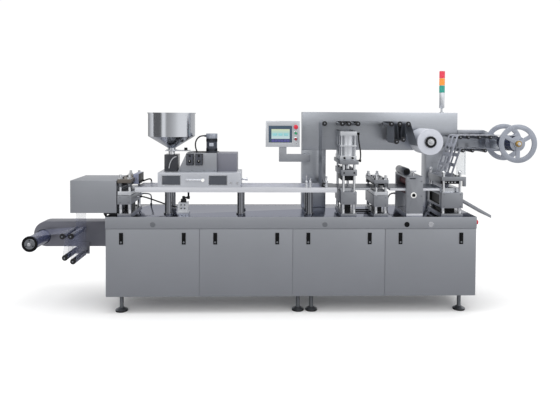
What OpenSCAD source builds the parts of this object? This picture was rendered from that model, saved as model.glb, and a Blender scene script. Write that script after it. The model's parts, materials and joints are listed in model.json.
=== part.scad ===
// Flat-plate blister packing machine.
// The film runs from left to right: unwind arm, heater, forming station, pill feeder, lidding foil
// gantry, sealing, creasing, traction and punching stations, then the waste winder.
// +X follows the film, +Y points away from the operator and +Z is up.
// The origin is the middle of the footprint at floor level.

/* [Bed and cabinet] */
// Length of the bed along the film
bed_length = 3060; // [3000:10:3700]
// Depth of the bed from front to back
bed_depth = 600; // [600:10:760]
// Height of the bed top over the floor
bed_top = 800; // [700:10:980]
// Height of the bed slab
bed_thick = 97; // [70:1:140]
// Free height under the cabinet
cabinet_clear = 140; // [110:5:180]
// Panels along each side of the cabinet
panel_count = 4; // [3:1:6]
// Gap between two cabinet panels
panel_gap = 5; // [3:1:10]
// Thickness of a cabinet panel
panel_thick = 6; // [3:1:10]
// Set-back of the panels behind the bed edge
panel_setback = 3; // [2:1:10]
// Width of a panel latch
latch_w = 32; // [24:1:50]
// Height of a panel latch
latch_h = 96; // [60:1:120]
// How far a latch stands proud of its panel
latch_proud = 9; // [5:1:15]
// Distance of a latch from the panel edge
latch_inset = 128; // [80:1:160]
// Distance of a latch's top under the cabinet top
latch_drop = 34; // [20:1:80]
// Diameter of a levelling foot pad
foot_pad_d = 100; // [70:1:110]
// Diameter of a levelling screw
foot_screw_d = 30; // [20:1:40]
// Distance of the feet from the front and back edges of the bed
foot_inset = 80; // [60:1:120]
// Distance of the outer feet from the ends of the bed
foot_end_inset = 112; // [90:1:160]
// Middle of the inner pair of feet from the left end of the bed
foot_pair_at = 1636; // [1400:1:1800]
// Distance between the inner pair of feet
foot_pair_gap = 112; // [112:1:200]

/* [Film and foil] */
// Width of the forming film and the lidding foil
film_width = 250; // [200:10:260]
// Distance of the film's centre line in front of the bed's centre line
film_forward = 85; // [70:5:100]
// Height of the film's underside over the bed top
film_height = 228; // [210:1:270]
// Drawn thickness of film, foil and waste web
web_thick = 1; // [0.6:0.1:2]
// Gap between a web and the roller or roll that it lies on
web_gap = 0.3; // [0.2:0.05:0.5]
// How far a roller sleeve reaches past the web's edge
roller_margin = 4; // [2:1:6]
// Radius of a guide roller's axle
roller_axle_r = 9; // [6:1:9]
// How far an axle stands out of its roller at the front
axle_nose = 8; // [4:1:14]
// Distance of the carrier plates' front face behind the bed's centre line
carrier_back = 130; // [120:5:170]
// Thickness of the gantry and of the arms
carrier_thick = 130; // [80:5:140]
// Radius of a roll shaft
shaft_r = 15; // [10:1:18]
// Radial running gap of a roll on its shaft
shaft_gap = 0.1; // [0.05:0.01:0.1]

/* [Unwind arm] */
// Reach of the arm beyond the left end of the bed
arm_reach = 760; // [700:10:900]
// Height of the arm
arm_h = 224; // [180:2:260]
// Distance of the arm's top edge under the bed top
arm_drop = 126; // [110:2:160]
// Distance of the film roll's axis from the arm's end
film_roll_inset = 118; // [100:1:140]
// Height of the film roll's axis over the arm's lower edge
film_roll_rise = 107; // [90:1:120]
// Radius of the film roll
film_roll_r = 58; // [40:1:90]
// Radius of the end discs of the film roll
film_disc_r = 66; // [60:1:100]
// Thickness of an end disc
film_disc_thick = 10; // [6:1:16]
// Radius of an unwind guide roller
unwind_roller_r = 23; // [15:1:25]
// Thickness of the lug plate for the low rollers
lug_thick = 10; // [6:1:16]
// Edge of the lug plate round the roller axles
lug_margin = 25; // [24:1:40]

/* [Heater and forming station] */
// Length of the heater box
heater_length = 375; // [345:5:420]
// Height of the heater box
heater_h = 267; // [250:1:320]
// Height of the heater's underside over the bed top
heater_lift = 26; // [22:1:40]
// Thickness of the heater's bracket plate
bracket_thick = 12; // [8:1:16]
// Reach of the heater's bracket beyond the bed
bracket_reach = 26; // [15:1:40]
// Free height of a film slot on each side of the film
film_slot = 8; // [6:1:14]
// Gap between the heater and the forming station
heater_gap = 7; // [4:1:12]
// Distance of the station fronts from the bed's centre line
station_forward = 275; // [265:5:290]
// Depth of a station
station_depth = 375; // [365:5:395]
// Left edge of the forming station from the left end of the bed
forming_at = 92; // [90:1:110]
// Width of the forming station
forming_w = 113; // [105:1:140]
// Stroke of the lower dies
die_stroke = 16; // [10:1:20]
// Thickness of a lower die
die_thick = 30; // [20:1:34]
// Radius of a station column
column_r = 11; // [8:1:13]
// Running gap of a die or platen on its columns
column_gap = 1; // [0.5:0.1:2]
// Radius of a spring on a station column
spring_r = 17; // [15:1:18]
// Length of a spring under the upper plate
spring_h = 32; // [20:1:34]
// Thickness of a fixed upper plate
upper_plate_thick = 30; // [20:1:40]

/* [Feeder] */
// Gap between the forming station and the film track
track_gap = 17; // [12:1:30]
// Gap between the film track and the sealing station
track_end_gap = 30; // [20:1:120]
// Height of the track beam
track_h = 37; // [25:1:50]
// Width of a side rail of the track
rail_w = 15; // [10:1:25]
// Gap between the film's edge and a side rail
rail_gap = 5; // [4:1:8]
// Height of the side rails over the film
rail_lip = 3; // [2:1:8]
// Radius of a track post
track_post_r = 27; // [20:1:32]
// Start of the feeder box from the left end of the bed
feeder_at = 410; // [390:1:440]
// Length of the feeder box
feeder_length = 686; // [660:2:760]
// Height of the feeder box
feeder_h = 122; // [110:1:150]
// Width of a feeder window
window_w = 146; // [100:1:150]
// Height of a feeder window
window_h = 74; // [50:1:80]
// Height of the drive hood on the feeder box
hood_h = 160; // [150:1:200]
// Length of the drive hood's foot
hood_length = 327; // [310:1:340]
// Slope of the hood's left face
hood_slope = 74; // [40:1:80]
// Radius of the feeder motor
motor_r = 48; // [40:1:55]
// Height of the feeder motor
motor_h = 160; // [150:1:200]
// Distance of the hopper's axis from the left end of the bed
hopper_at = 501; // [480:1:503]
// Outer radius of the hopper
hopper_r = 197; // [150:1:210]
// Height of the hopper's straight wall
hopper_wall_h = 200; // [120:5:260]
// Height of the hopper's cone
hopper_cone_h = 100; // [80:5:160]
// Outer radius of the hopper's neck
hopper_neck_r = 34; // [28:1:45]
// Sheet thickness of the hopper
hopper_sheet = 3; // [2:0.5:5]
// Height of the feed chute's square duct
duct_h = 143; // [120:1:150]
// Wall of the feed chute
chute_wall = 5; // [3:0.5:8]
// Height of the round neck between duct and gate
chute_neck_h = 28; // [20:1:60]
// Width of the regulator block
regulator_w = 97; // [80:1:110]

/* [Gantry] */
// Left end of the gantry from the left end of the bed
gantry_at = 1632; // [1612:1:1650]
// Length of the gantry
gantry_length = 1415; // [1400:5:1480]
// Height of the gantry over the bed top
gantry_h = 865; // [850:5:1040]
// Height of the gantry beam
beam_h = 342; // [300:2:360]
// Width of a gantry post
post_w = 216; // [180:2:240]
// Distance of the right post from the gantry's right end
right_post_inset = 288; // [250:2:300]
// Radius of a foil guide roller
foil_roller_r = 20; // [12:1:21]
// Radius of the foil roll
foil_roll_r = 110; // [60:1:130]
// Radius of the foil roll's chuck
chuck_r = 50; // [35:1:55]
// Diameter of the signal tower
tower_d = 51; // [40:1:70]
// Height of one lamp of the signal tower
lamp_h = 63; // [40:1:70]

/* [Operator panel] */
// Width of the operator panel
panel_w = 298; // [270:1:320]
// Height of the operator panel
panel_h = 227; // [200:1:250]
// Depth of the operator panel
panel_d = 80; // [60:1:100]
// Height of the operator panel over the bed top
panel_rise = 557; // [540:1:600]
// Gap between the operator panel and the gantry
panel_side_gap = 31; // [20:1:60]
// Width of the panel's square tube
panel_tube = 65; // [50:1:70]
// Radius of an emergency stop button
stop_r = 20; // [15:1:22]
// Radius of a push button
button_r = 13; // [10:1:15]

/* [Sealing station] */
// Left edge of the sealing station from the left end of the bed
sealing_at = 1930; // [1925:1:1940]
// Width of the sealing station
sealing_w = 130; // [120:1:140]
// Width of a square sealing cylinder
cylinder_w = 138; // [110:1:142]
// Height of a sealing cylinder
cylinder_h = 239; // [200:1:250]
// Height of a cylinder's end caps
cylinder_cap_h = 34; // [20:1:40]
// Radius of a cylinder's tie rods
tie_rod_r = 7; // [5:1:9]
// Radius of a cylinder's ram
ram_r = 20; // [15:1:25]
// Stroke of the sealing platen
platen_stroke = 50; // [30:1:60]
// Thickness of the sealing platen
platen_thick = 48; // [35:1:60]
// Height of the heated plate under the platen
heat_plate_h = 47; // [30:1:50]
// Thickness of the cylinder plate
cylinder_plate_thick = 32; // [20:1:40]

/* [Creasing and traction] */
// Left edge of the creasing station from the left end of the bed
creasing_at = 2205; // [2195:1:2215]
// Width of the creasing station
creasing_w = 119; // [110:1:125]
// Left edge of the traction unit from the left end of the bed
traction_at = 2474; // [2465:1:2480]
// Width of the traction unit
traction_w = 139; // [130:1:145]
// Thickness of a traction cheek
cheek_thick = 30; // [20:1:35]
// Height of the traction cheeks over the film
cheek_rise = 104; // [90:1:115]
// Radius of a traction roller
traction_roller_r = 38; // [30:1:42]
// Radius of the drum on the traction unit
drum_r = 33; // [25:1:36]

/* [Punching station] */
// Left edge of the punching station from the left end of the bed
punch_at = 2770; // [2765:1:2775]
// Width of the punching station
punch_w = 180; // [175:1:190]
// Stroke of the punch
punch_stroke = 30; // [15:1:30]
// Thickness of the punch plate
punch_plate_thick = 33; // [25:1:40]
// Height of the punch ring under its plate
punch_ring_h = 30; // [20:1:35]
// Overhang of the outfeed chute past the bed's right end
chute_overhang = 158; // [100:1:200]

/* [Waste winder] */
// Reach of the waste arm beyond the gantry
waste_arm_reach = 283; // [260:2:300]
// Radius of a waste guide roller
waste_roller_r = 15; // [11:1:18]
// Distance of the waste reel's axis from the left end of the bed
reel_at = 3435; // [3420:1:3470]
// Height of the waste reel's axis over the bed top
reel_height = 605; // [590:1:620]
// Outer radius of the reel's flanges
reel_r = 163; // [140:1:180]
// Width of a flange rim
reel_rim = 42; // [20:1:50]
// Thickness of a flange
flange_thick = 10; // [6:1:14]
// Width of a flange spoke
spoke_w = 34; // [20:1:45]
// Radius of the wound waste
waste_core_r = 65; // [50:1:75]
// Size of the clear guard under the waste arm
guard_w = 80; // [60:1:120]

/* [Hidden] */
$fn = 48;

// Length that a cutting shape runs past the face it cuts
cut = 1;

// Overall length and the left end of the bed
machine_right = max(bed_length, reel_at + reel_r);
bed_x = -(arm_reach + machine_right) / 2 + arm_reach;
bed_half = bed_depth / 2;

// Depth places
film_y = -film_forward;
film_y0 = film_y - film_width / 2;
film_y1 = film_y + film_width / 2;
station_y0 = -station_forward;
station_y1 = station_y0 + station_depth;
carrier_y0 = carrier_back;
carrier_y1 = carrier_back + carrier_thick;
roller_front = film_y0 - roller_margin;
roller_back = film_y1 + roller_margin;
rail_y0 = film_y0 - rail_gap - rail_w;
rail_y1 = film_y1 + rail_gap + rail_w;

// Height places
film_z = bed_top + film_height;
film_top = film_z + web_thick;
foil_top = film_top + web_thick;
rail_top = film_top + rail_lip;
track_bottom = film_z - track_h;
feeder_top = rail_top + feeder_h;
hood_top = feeder_top + hood_h;
gantry_top = bed_top + gantry_h;
beam_bottom = gantry_top - beam_h;
reel_z = bed_top + reel_height;
arm_top = bed_top - arm_drop;
arm_bottom = arm_top - arm_h;
cabinet_top = bed_top - bed_thick;
panel_pitch = bed_length / panel_count;

// Unwind roll and its rollers, from the left end of the bed and in height
film_roll_at = -arm_reach + film_roll_inset;
film_roll_z = arm_bottom + film_roll_rise;
unwind_rollers_at = [[-377, arm_bottom + 169], [-307, arm_bottom + 169],
    [-358, arm_bottom - 10], [-291, arm_bottom - 40]];
film_entry = unwind_rollers_at[3][0] + unwind_roller_r + web_gap + web_thick / 2;

// Heater, track and the ends of the webs
heater_right = forming_at - heater_gap;
heater_bottom = bed_top + heater_lift;
track_from = forming_at + forming_w + track_gap;
track_to = sealing_at - track_end_gap;
track_posts_at = [490, 1094, 1673];
web_end = punch_at + 10;

// Hood on the feeder
hood_from = feeder_at + 155;
hood_to = hood_from + hood_length;
hood_y0 = rail_y0 + 60;
motor_at = hood_to - motor_r - 2;

// Feed chute, gate and hopper
gate_thick = 6;
duct_top = feeder_top + duct_h;
chute_top = duct_top + chute_neck_h;
hopper_foot = chute_top + gate_thick;
hopper_cone_z = hopper_foot + 20;
hopper_wall_z = hopper_cone_z + hopper_cone_h;
hopper_top = hopper_wall_z + hopper_wall_h;

// Foil roll and rollers
foil_roll_at = 2690;
foil_roll_z = gantry_top - 249;
foil_line = gantry_top - 98;
foil_top_rollers = [1795, 1945, 1999, 2075, 2358, 2429, 2501];
foil_low_rollers = [[2403, foil_line - 149], [2461, foil_line - 130]];
foil_turn_z = film_top + web_thick + foil_roller_r + web_gap;

// Gantry and operator panel
gantry_end = gantry_at + gantry_length;
right_post_at = gantry_end - right_post_inset;
panel_from = gantry_at - panel_side_gap - panel_w;
panel_z = bed_top + panel_rise;
panel_y0 = -20;

// Station levels
base_thick = 22;
leg_r = 14;
column_inset = 20;
leg_inset = column_inset + 6;
die_rod_r = 16;
die_rod_h = 45;
die_rest_gap = 3;
die_clear = 8;
die_edge = 2;
block_top = film_z - die_clear - die_stroke - die_thick - die_rest_gap;
plate_fit = 0.2;
pad_h = 25;
pad_inset = 18;
pad_margin = 6;
upper_plate_z = film_z + 45;
upper_plate_top = upper_plate_z + upper_plate_thick;
nut_h = 14;
nut_margin = 8;
stud_h = 22;
shelf_thick = 18;

// Sealing levels
sealing_block_top = film_z - 26;
platen_clear = 10;
platen_z = foil_top + platen_clear + platen_stroke + heat_plate_h;
platen_top = platen_z + platen_thick;
platen_air = 46;
cylinder_plate_z = platen_top + platen_air;
cylinder_z = cylinder_plate_z + cylinder_plate_thick;
cylinder_pitch = cylinder_w + 4;
ram_y = [film_y - cylinder_pitch / 2, film_y + cylinder_pitch / 2];
ram_end = cylinder_z + platen_stroke + 30;
ram_room = 15;
plate_overhang = 12;

// Punching levels
punch_block_top = film_z - 30;
punch_clear = 6;
punch_plate_z = foil_top + punch_clear + punch_stroke + punch_ring_h;
punch_plate_top = punch_plate_z + punch_plate_thick;

// Waste rollers and arm
waste_high = reel_z + waste_core_r - waste_roller_r + 2;
waste_low = reel_z - 60;
waste_high_rollers = [2945, 3014, 3108, 3205];
waste_low_rollers = [2968, 3049, 3159];
waste_top = gantry_top - 156;
waste_bottom = beam_bottom - 6;

// Traction cheeks
traction_y0 = station_y0 + cheek_thick;
traction_y1 = station_y1 - cheek_thick;

// Air regulator on the bed
regulator_at = 559;
regulator_y0 = -165;
regulator_depth = 90;
regulator_side = 9;

// Cable and hoses: sizes of the cords and of the fittings that hold their ends
cord_r = 6;
cord_sides = 8;
cord_steps = 16;
gland_r = 9;
gland_l = 15;

// Cord routes: each runs from its start to its end as one smooth curve with the given pulls there
function curve(a, pull_a, b, pull_b) = [
    for (i = [0 : cord_steps])
        let (t = i / cord_steps)
        (2 * t * t * t - 3 * t * t + 1) * a + (t * t * t - 2 * t * t + t) * pull_a
            + (3 * t * t - 2 * t * t * t) * b + (t * t * t - t * t) * pull_b
];
forming_side = [bed_x + forming_at + forming_w, film_y, bed_top];
forming_hose_route = curve(forming_side + [18, 155, 135], [240, 0, 0],
    forming_side + [49, 335, 20], [-20, 60, -240]);
manifold_out = 32;
manifold_port = [manifold_out + gland_l, 70, film_height + 33];
loop_end = [forming_side[0] + 95, rail_y1 - rail_w / 2, rail_top + 12];
loop_hose_route = curve(forming_side + manifold_port, [110, 0, 40], loop_end, [0, 30, -110]);
air_start = forming_side + [18, 25, 130];
air_end = [bed_x + regulator_at + regulator_side - gland_l, regulator_y0 + regulator_depth / 2, bed_top + 50];
air_hose_route = curve(air_start, [200, 0, 0], air_end, [200, 0, 0]);
motor_foot = [bed_x + motor_at, film_y, hood_top];
motor_cable_route = curve(motor_foot + [-63, 0, 140], [-200, 0, 20], motor_foot + [-128, 0, 12], [90, 0, -190]);
ram_foot = [bed_x + sealing_at + sealing_w / 2, ram_y[0], cylinder_z];
sealing_hose_route = curve(ram_foot + [96, 0, 207], [0, 0, -260], ram_foot + [112, 0, 0], [-40, 0, -200]);
cheek_side = [bed_x + traction_at, traction_y1 + cheek_thick / 2, bed_top];
traction_cable_route = curve(cheek_side + [-gland_l, 0, 138], [-150, 0, 0],
    cheek_side + [-40, 145, 20], [0, 60, -160]);

// General solids
module box(s0, s1, y0, y1, z0, z1) {
    translate([bed_x + s0, y0, z0]) cube([s1 - s0, y1 - y0, z1 - z0]);
}
module rod_x(y, z, r, s0, s1) {
    translate([bed_x + s0, y, z]) rotate([0, 90, 0]) cylinder(r = r, h = s1 - s0);
}
module rod_y(s, z, r, y0, y1) {
    translate([bed_x + s, y0, z]) rotate([-90, 0, 0]) cylinder(r = r, h = y1 - y0);
}
module rod_z(s, y, r, z0, z1) {
    translate([bed_x + s, y, z0]) cylinder(r = r, h = z1 - z0);
}
module profile_y(points, y0, y1) {
    translate([bed_x, y1, 0]) rotate([90, 0, 0]) linear_extrude(y1 - y0) polygon(points);
}
module at_corners(s0, s1, y0, y1) {
    for (s = [s0, s1], y = [y0, y1]) translate([bed_x + s, y, 0]) children();
}

// Guide roller: a sleeve across the web on a thinner axle that enters the carrier plate
module guide_roller(s, z, r, seat = carrier_y0) {
    rod_y(s, z, r, roller_front, roller_back);
    rod_y(s, z, roller_axle_r, roller_front - axle_nose, seat);
}

// Webs: each stop is a roller [place, height, radius of the web, side], where side is 1 for a
// clockwise turn and -1 for an anticlockwise turn, and 0 for a plain end
function heading(a, b) =
    let (run = b[0] - a[0], rise = b[1] - a[1])
    atan2(rise, run) - asin((a[3] * a[2] - b[3] * b[2]) / norm([run, rise]));
function full_turn(angle) = angle - 360 * floor(angle / 360 + 0.00001);
function swing(from, to, side) = side > 0 ? -full_turn(from - to) : full_turn(to - from);
function web_point(stop, angle) = [
    stop[0] - stop[3] * stop[2] * sin(angle), stop[1] + stop[3] * stop[2] * cos(angle),
    -sin(angle), cos(angle)
];
function wrap(stop, from, to) =
    let (turn = swing(from, to, stop[3]), steps = ceil(abs(turn) / 12))
    steps == 0 ? [web_point(stop, from)]
        : [for (i = [0 : steps]) web_point(stop, from + turn * i / steps)];
function web_path(stops) = [
    for (i = [0 : len(stops) - 1])
        let (first = i == 0, last = i == len(stops) - 1,
            from = first ? heading(stops[0], stops[1]) : heading(stops[i - 1], stops[i]),
            to = last ? from : heading(stops[i], stops[i + 1]))
        each wrap(stops[i], from, to)
];
module web(stops, y0, y1) {
    path = web_path(stops);
    half = web_thick / 2;
    upper = [for (p = path) [p[0] + half * p[2], p[1] + half * p[3]]];
    lower = [for (i = [len(path) - 1 : -1 : 0])
        [path[i][0] - half * path[i][2], path[i][1] - half * path[i][3]]];
    profile_y(concat(upper, lower), y0, y1);
}
function over(s, z, r, side) = [s, z, r + web_gap + web_thick / 2, side];

// Cords: a tube swept along a route, with its end faces square to the given directions
function unit(v) = v / norm(v);
function route_heading(route, i, first, last) =
    i == 0 ? first : i == len(route) - 1 ? last : unit(route[i + 1] - route[i - 1]);
function cord_ring(centre, along, lean) =
    let (a = unit(cross(along, lean)), b = cross(along, a))
    [for (k = [0 : cord_sides - 1])
        centre + cord_r * (cos(360 * k / cord_sides) * a + sin(360 * k / cord_sides) * b)];
module cord(route, first, last, lean) {
    n = cord_sides;
    ends = len(route) - 1;
    points = [for (i = [0 : ends]) each cord_ring(route[i], route_heading(route, i, first, last), lean)];
    sides = [for (i = [0 : ends - 1], k = [0 : n - 1])
        let (a = i * n + k, b = i * n + (k + 1) % n)
        each [[a, a + n, b + n], [a, b + n, b]]];
    start_cap = [for (k = [0 : n - 1]) k];
    end_cap = [for (k = [n - 1 : -1 : 0]) ends * n + k];
    polyhedron(points, concat(sides, [start_cap, end_cap]));
}

// Bed and cabinet; the bed carries the fittings that the forming hose and the traction cable enter
module bed() {
    color("#969AA8") {
        box(0, bed_length, -bed_half, bed_half, cabinet_top, bed_top);
        for (route = [forming_hose_route, traction_cable_route])
            translate([route[cord_steps][0], route[cord_steps][1], bed_top])
                cylinder(r = gland_r, h = route[cord_steps][2] - bed_top);
    }
}
module cabinet_body() {
    depth = bed_half - panel_setback - panel_thick;
    color("#6E727A") box(panel_setback, bed_length - panel_setback, -depth, depth,
        cabinet_clear, cabinet_top);
}
module panel_row(y0) {
    low_gap = 3;
    high_gap = 4;
    for (i = [0 : panel_count - 1])
        box(i * panel_pitch + panel_gap / 2, (i + 1) * panel_pitch - panel_gap / 2, y0, y0 + panel_thick,
            cabinet_clear + low_gap, cabinet_top - high_gap);
}
module front_panels() {
    color("#80848A") panel_row(-bed_half + panel_setback);
}
module rear_panels() {
    color("#80848A") panel_row(bed_half - panel_setback - panel_thick);
}
module latch_row(y0) {
    top = cabinet_top - latch_drop;
    for (i = [0 : panel_count - 1], s = [latch_inset, panel_pitch - latch_inset])
        box(i * panel_pitch + s - latch_w / 2, i * panel_pitch + s + latch_w / 2, y0, y0 + latch_proud,
            top - latch_h, top);
}
module panel_latches() {
    color("#1B1C1F") {
        latch_row(-bed_half + panel_setback - latch_proud);
        latch_row(bed_half - panel_setback);
    }
}
module levelling_feet() {
    pad_rim_h = 14;
    pad_cone_h = 16;
    lock_nut_h = 18;
    foot_places = [foot_end_inset, foot_pair_at - foot_pair_gap / 2, foot_pair_at + foot_pair_gap / 2,
        bed_length - foot_end_inset];
    color("#3A3C40")
        for (s = foot_places, side = [-1, 1])
            translate([bed_x + s, side * (bed_half - foot_inset), 0]) {
                cylinder(d = foot_pad_d, h = pad_rim_h);
                translate([0, 0, pad_rim_h])
                    cylinder(d1 = foot_pad_d - 10, d2 = foot_screw_d + 14, h = pad_cone_h);
                cylinder(d = foot_screw_d, h = cabinet_clear);
                translate([0, 0, cabinet_clear - lock_nut_h])
                    cylinder(d = foot_screw_d + 22, h = lock_nut_h, $fn = 6);
            }
}

// Unwind arm with a rounded end and a lug plate for the two low rollers
module unwind_arm() {
    end_r = arm_h / 2;
    lug_rise = 40;
    color("#55555F") {
        box(-arm_reach + end_r, panel_setback, carrier_y0, carrier_y1, arm_bottom, arm_top);
        rod_y(-arm_reach + end_r, arm_bottom + end_r, end_r, carrier_y0, carrier_y1);
        box(unwind_rollers_at[2][0] - lug_margin, unwind_rollers_at[3][0] + lug_margin,
            carrier_y0 - lug_thick, carrier_y0,
            unwind_rollers_at[3][1] - lug_margin, arm_bottom + lug_rise);
    }
}
module unwind_rollers() {
    color("#B9BDC4")
        for (p = unwind_rollers_at)
            guide_roller(p[0], p[1], unwind_roller_r, p[1] < arm_bottom ? carrier_y0 - lug_thick : carrier_y0);
}
module film_roll() {
    y0 = film_y0 - film_disc_thick;
    y1 = film_y1 + film_disc_thick;
    color("#6C7FC0")
        difference() {
            union() {
                rod_y(film_roll_at, film_roll_z, film_roll_r, film_y0, film_y1);
                rod_y(film_roll_at, film_roll_z, film_disc_r, y0, film_y0);
                rod_y(film_roll_at, film_roll_z, film_disc_r, film_y1, y1);
            }
            rod_y(film_roll_at, film_roll_z, shaft_r + shaft_gap, y0 - cut, y1 + cut);
        }
}
module forming_film() {
    entry_rise = 34;
    exit_overlap = 40;
    r = unwind_roller_r;
    p = unwind_rollers_at;
    color("#C9D3E6") {
        web([over(film_roll_at, film_roll_z, film_roll_r, 1), over(p[0][0], p[0][1], r, 1),
            over(p[2][0], p[2][1], r, -1), over(p[1][0], p[1][1], r, 1), over(p[3][0], p[3][1], r, -1),
            [film_entry, heater_bottom + entry_rise, 0, 0]], film_y0, film_y1);
        box(heater_right - exit_overlap, web_end, film_y0, film_y1, film_z, film_top);
    }
}

// Heater box with slots for the film, on its bracket
module heater_box() {
    entry_slot_h = 45;
    exit_slot_l = 50;
    color("#80848A")
        difference() {
            box(heater_right - heater_length, heater_right, station_y0, station_y1,
                heater_bottom, heater_bottom + heater_h);
            box(film_entry - film_slot, film_entry + film_slot, film_y0 - film_slot, film_y1 + film_slot,
                heater_bottom - cut, heater_bottom + entry_slot_h);
            box(heater_right - exit_slot_l, heater_right + cut, film_y0 - film_slot, film_y1 + film_slot,
                film_z - film_slot, film_top + film_slot);
        }
}
module heater_bracket() {
    side = 20;
    spacer_from = 30;
    gusset_drop = 28;
    gusset_thick = 12;
    y0 = station_y0 + side;
    y1 = station_y1 - side;
    low = heater_bottom - bracket_thick;
    color("#24262A") {
        box(-bracket_reach, heater_right, y0, y1, low, heater_bottom);
        box(spacer_from, heater_right, y0, y1, bed_top, low);
        for (y = [y0, y1 - gusset_thick])
            profile_y([[-bracket_reach, low], [0, bed_top - gusset_drop], [0, low]], y, y + gusset_thick);
    }
}

// Station parts that repeat
module station_bed(s, w, block_z0, block_z1) {
    housing_side = 36;
    housing_depth = 190;
    leg_z = bed_top + base_thick;
    box(s, s + w, station_y0, station_y1, bed_top, leg_z);
    box(s + housing_side, s + w - housing_side, film_y - housing_depth / 2, film_y + housing_depth / 2,
        leg_z, block_z0);
    at_corners(s + column_inset, s + w - column_inset, station_y0 + leg_inset, station_y1 - leg_inset)
        translate([0, 0, leg_z]) cylinder(r = leg_r, h = block_z0 - leg_z);
    box(s, s + w, station_y0, station_y1, block_z0, block_z1);
}
module station_columns(s, w, r, z0, z1) {
    at_corners(s + column_inset, s + w - column_inset, station_y0 + column_inset,
        station_y1 - column_inset)
        translate([0, 0, z0]) cylinder(r = r, h = z1 - z0);
}
module lifting_base(s, w, block_z0, column_top) {
    difference() {
        station_bed(s, w, block_z0, block_top);
        rod_z(s + w / 2, film_y, die_rod_r + column_gap / 2, block_top - die_rod_h, block_top + cut);
    }
    station_columns(s, w, column_r, block_top, column_top);
}
module lifting_die(s, w) {
    z0 = block_top + die_rest_gap;
    z1 = z0 + die_thick;
    difference() {
        box(s + die_edge, s + w - die_edge, station_y0 + die_edge, station_y1 - die_edge, z0, z1);
        station_columns(s, w, column_r + column_gap, z0 - cut, z1 + cut);
    }
    rod_z(s + w / 2, film_y, die_rod_r, z0 - die_rod_h, z0);
}
module upper_plate(s, w) {
    difference() {
        union() {
            box(s, s + w, station_y0, station_y1, upper_plate_z, upper_plate_top);
            box(s + pad_inset, s + w - pad_inset, film_y0 - pad_margin, film_y1 + pad_margin,
                upper_plate_z - pad_h, upper_plate_z);
            station_columns(s, w, spring_r, upper_plate_z - spring_h, upper_plate_z);
        }
        station_columns(s, w, column_r + plate_fit, upper_plate_z - spring_h - cut, upper_plate_top + cut);
    }
}
module column_nuts(s, w, z) {
    at_corners(s + column_inset, s + w - column_inset, station_y0 + column_inset,
        station_y1 - column_inset)
        translate([0, 0, z]) {
            cylinder(r = column_r + nut_margin, h = nut_h, $fn = 6);
            translate([0, 0, nut_h]) cylinder(r = column_r, h = stud_h);
        }
}

// Forming station with the air manifold on its right side
module forming_base() {
    block_rise = 97;
    right = forming_at + forming_w;
    color("#8C9096") {
        lifting_base(forming_at, forming_w, bed_top + block_rise, upper_plate_top);
        for (start = [forming_hose_route[0], air_hose_route[0]])
            rod_x(start[1], start[2], gland_r, right, start[0] - bed_x);
    }
}
module forming_lower_die() {
    color("#C6C8CC") lifting_die(forming_at, forming_w);
}
module forming_top_plate() {
    manifold_in = 12;
    manifold_y0 = film_y - 70;
    manifold_y1 = film_y + 110;
    port_inset = 40;
    manifold_low = 24;
    manifold_high = 30;
    right = forming_at + forming_w;
    color("#8C9096") {
        upper_plate(forming_at, forming_w);
        column_nuts(forming_at, forming_w, upper_plate_top);
        box(right - manifold_in, right + manifold_out, manifold_y0, manifold_y1,
            upper_plate_z - manifold_low, upper_plate_top + manifold_high);
        for (y = [manifold_y0 + port_inset, loop_hose_route[0][1]])
            rod_x(y, loop_hose_route[0][2], gland_r, right + manifold_out, right + manifold_out + gland_l);
    }
}
module forming_hose() {
    color("#6A6D72") cord(forming_hose_route, [1, 0, 0], [0, 0, -1], [1, 0.4, 1]);
}
module forming_loop_hose() {
    color("#141518") cord(loop_hose_route, [1, 0, 0], [0, 0, -1], [-0.6, 1, 0]);
}

// Film track on its posts; its rear rail carries the fitting that the loop hose enters
module feeder_track() {
    color("#C4C8CE") {
        translate([loop_end[0], loop_end[1], rail_top]) cylinder(r = rail_w / 2, h = loop_end[2] - rail_top);
        box(track_from, track_to, rail_y0, rail_y1, track_bottom, film_z);
        box(track_from, track_to, rail_y0, rail_y0 + rail_w, film_z, rail_top);
        box(track_from, track_to, rail_y1 - rail_w, rail_y1, film_z, rail_top);
    }
}
module track_posts() {
    edge = 40;
    collar = 9;
    collar_h = 16;
    color("#9EA2A8")
        for (s = track_posts_at, y = [rail_y0 + edge, rail_y1 - edge]) {
            rod_z(s, y, track_post_r, bed_top, track_bottom);
            rod_z(s, y, track_post_r + collar, bed_top, bed_top + collar_h);
        }
}

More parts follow.
